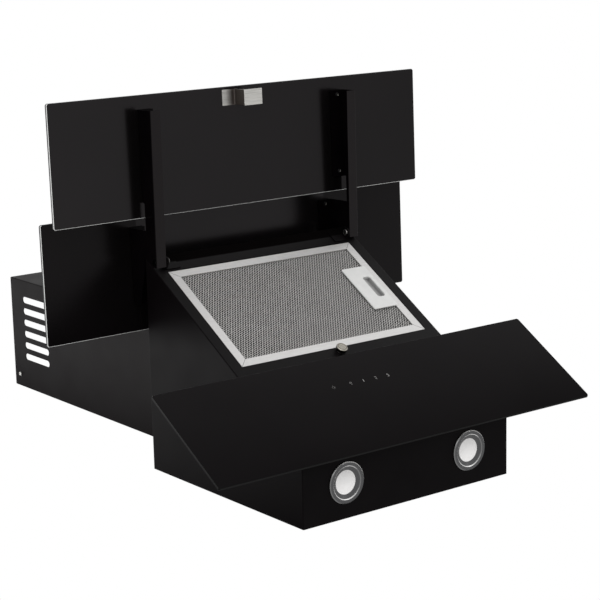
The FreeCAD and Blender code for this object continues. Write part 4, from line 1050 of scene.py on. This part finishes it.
cameraView = {
    "place": (-1.4311, -0.7373, -1.8313),
    "right": (0.79297, 0.02270, -0.60885),
    "up": (0.14715, -0.97688, 0.15520),
    "forward": (0.59124, 0.21266, 0.77796),
    "lens": 110.31,  # mm, as is the sensor
    "sensor": 36,
    "reach": 50,
}


def makeCamera(spec):
    data = bpy.data.cameras.new("photoCamera")
    data.lens = spec["lens"]
    data.sensor_width = spec["sensor"]
    data.clip_end = spec["reach"]
    camera = bpy.data.objects.new("photoCamera", data)
    bpy.context.scene.collection.objects.link(camera)
    axes = Matrix((spec["right"], spec["up"], [-c for c in spec["forward"]])).transposed()
    camera.matrix_world = Matrix.Translation(spec["place"]) @ axes.to_4x4()
    bpy.context.scene.camera = camera
    print("camera: set at", spec["place"])


makeCamera(cameraView)

studio = {
    "floorLevel": -2.2,  # below the camera, which looks up at the hood
    "floorSize": 9.0,
    "floorFinish": {"Base Color": srgb(232, 232, 232), "Roughness": 0.9},
    "ambient": srgb(243, 241, 240),
    "ambientPower": 0.9,
    "boxes": {
        "frontBox": {"at": (-1.4, -2.6, -1.2), "aim": (0, -0.2, 0.05), "size": 2.0, "watts": 14},
        "sideBox": {"at": (-2.6, -0.6, 0.2), "aim": (0, -0.1, 0.1), "size": 1.8, "watts": 8},
        "rightBox": {"at": (2.2, -1.8, -1.4), "aim": (0, -0.2, 0.05), "size": 1.8, "watts": 9},
        "topBox": {"at": (-0.9, 0.5, 1.9), "aim": (0, -0.1, 0.3), "size": 1.4, "watts": 7},
        "lowBox": {"at": (-0.9, -1.3, -1.9), "aim": (0, -0.1, 0.0), "size": 1.4, "watts": 7},
    },
}


def seenDirectly(tree):
    rays = tree.nodes.new("ShaderNodeLightPath")
    seen = mathOf(tree, "MAXIMUM", rays.outputs["Is Camera Ray"], rays.outputs["Is Glossy Ray"])
    return mathOf(tree, "MAXIMUM", seen, rays.outputs["Is Transmission Ray"])


def makeWorld(spec):
    world = bpy.data.worlds.new("studioAir")
    bpy.context.scene.world = world
    world.use_nodes = True
    tree = world.node_tree
    tree.nodes.clear()
    white = tree.nodes.new("ShaderNodeBackground")
    white.inputs["Color"].default_value = (1, 1, 1, 1)
    soft = tree.nodes.new("ShaderNodeBackground")
    soft.inputs["Color"].default_value = spec["ambient"]
    soft.inputs["Strength"].default_value = spec["ambientPower"]
    pick = tree.nodes.new("ShaderNodeMixShader")
    out = tree.nodes.new("ShaderNodeOutputWorld")
    tree.links.new(seenDirectly(tree), pick.inputs["Fac"])
    tree.links.new(soft.outputs["Background"], pick.inputs[1])
    tree.links.new(white.outputs["Background"], pick.inputs[2])
    tree.links.new(pick.outputs["Shader"], out.inputs["Surface"])


def makeFloor(spec):
    half, level = spec["floorSize"] / 2, spec["floorLevel"]
    data = bpy.data.meshes.new("studioFloor")
    corners = [(-half, -half), (half, -half), (half, half), (-half, half)]
    data.from_pydata([(x, y, level) for x, y in corners], [], [(0, 1, 2, 3)])
    floor = bpy.data.objects.new("studioFloor", data)
    bpy.context.scene.collection.objects.link(floor)
    mat, tree, shader, _ = newFinish("studioFloor", spec["floorFinish"])
    glow = tree.nodes.new("ShaderNodeEmission")
    pick = tree.nodes.new("ShaderNodeMixShader")
    tree.links.new(seenDirectly(tree), pick.inputs["Fac"])
    tree.links.new(shader.outputs["BSDF"], pick.inputs[1])
    tree.links.new(glow.outputs["Emission"], pick.inputs[2])
    tree.links.new(pick.outputs["Shader"], tree.nodes["Material Output"].inputs["Surface"])
    data.materials.append(mat)


def makeBoxes(spec):
    for name, box in spec["boxes"].items():
        data = bpy.data.lights.new(name, "AREA")
        data.shape = "SQUARE"
        data.size = box["size"]
        data.energy = box["watts"]
        lamp = bpy.data.objects.new(name, data)
        bpy.context.scene.collection.objects.link(lamp)
        lamp.location = box["at"]
        aim = Vector(box["aim"]) - Vector(box["at"])
        lamp.rotation_euler = aim.to_track_quat("-Z", "Y").to_euler()


makeWorld(studio)
makeFloor(studio)
makeBoxes(studio)
bpy.context.scene.view_settings.view_transform = "Standard"
print("studio: floor, sky and", len(studio["boxes"]), "soft boxes")
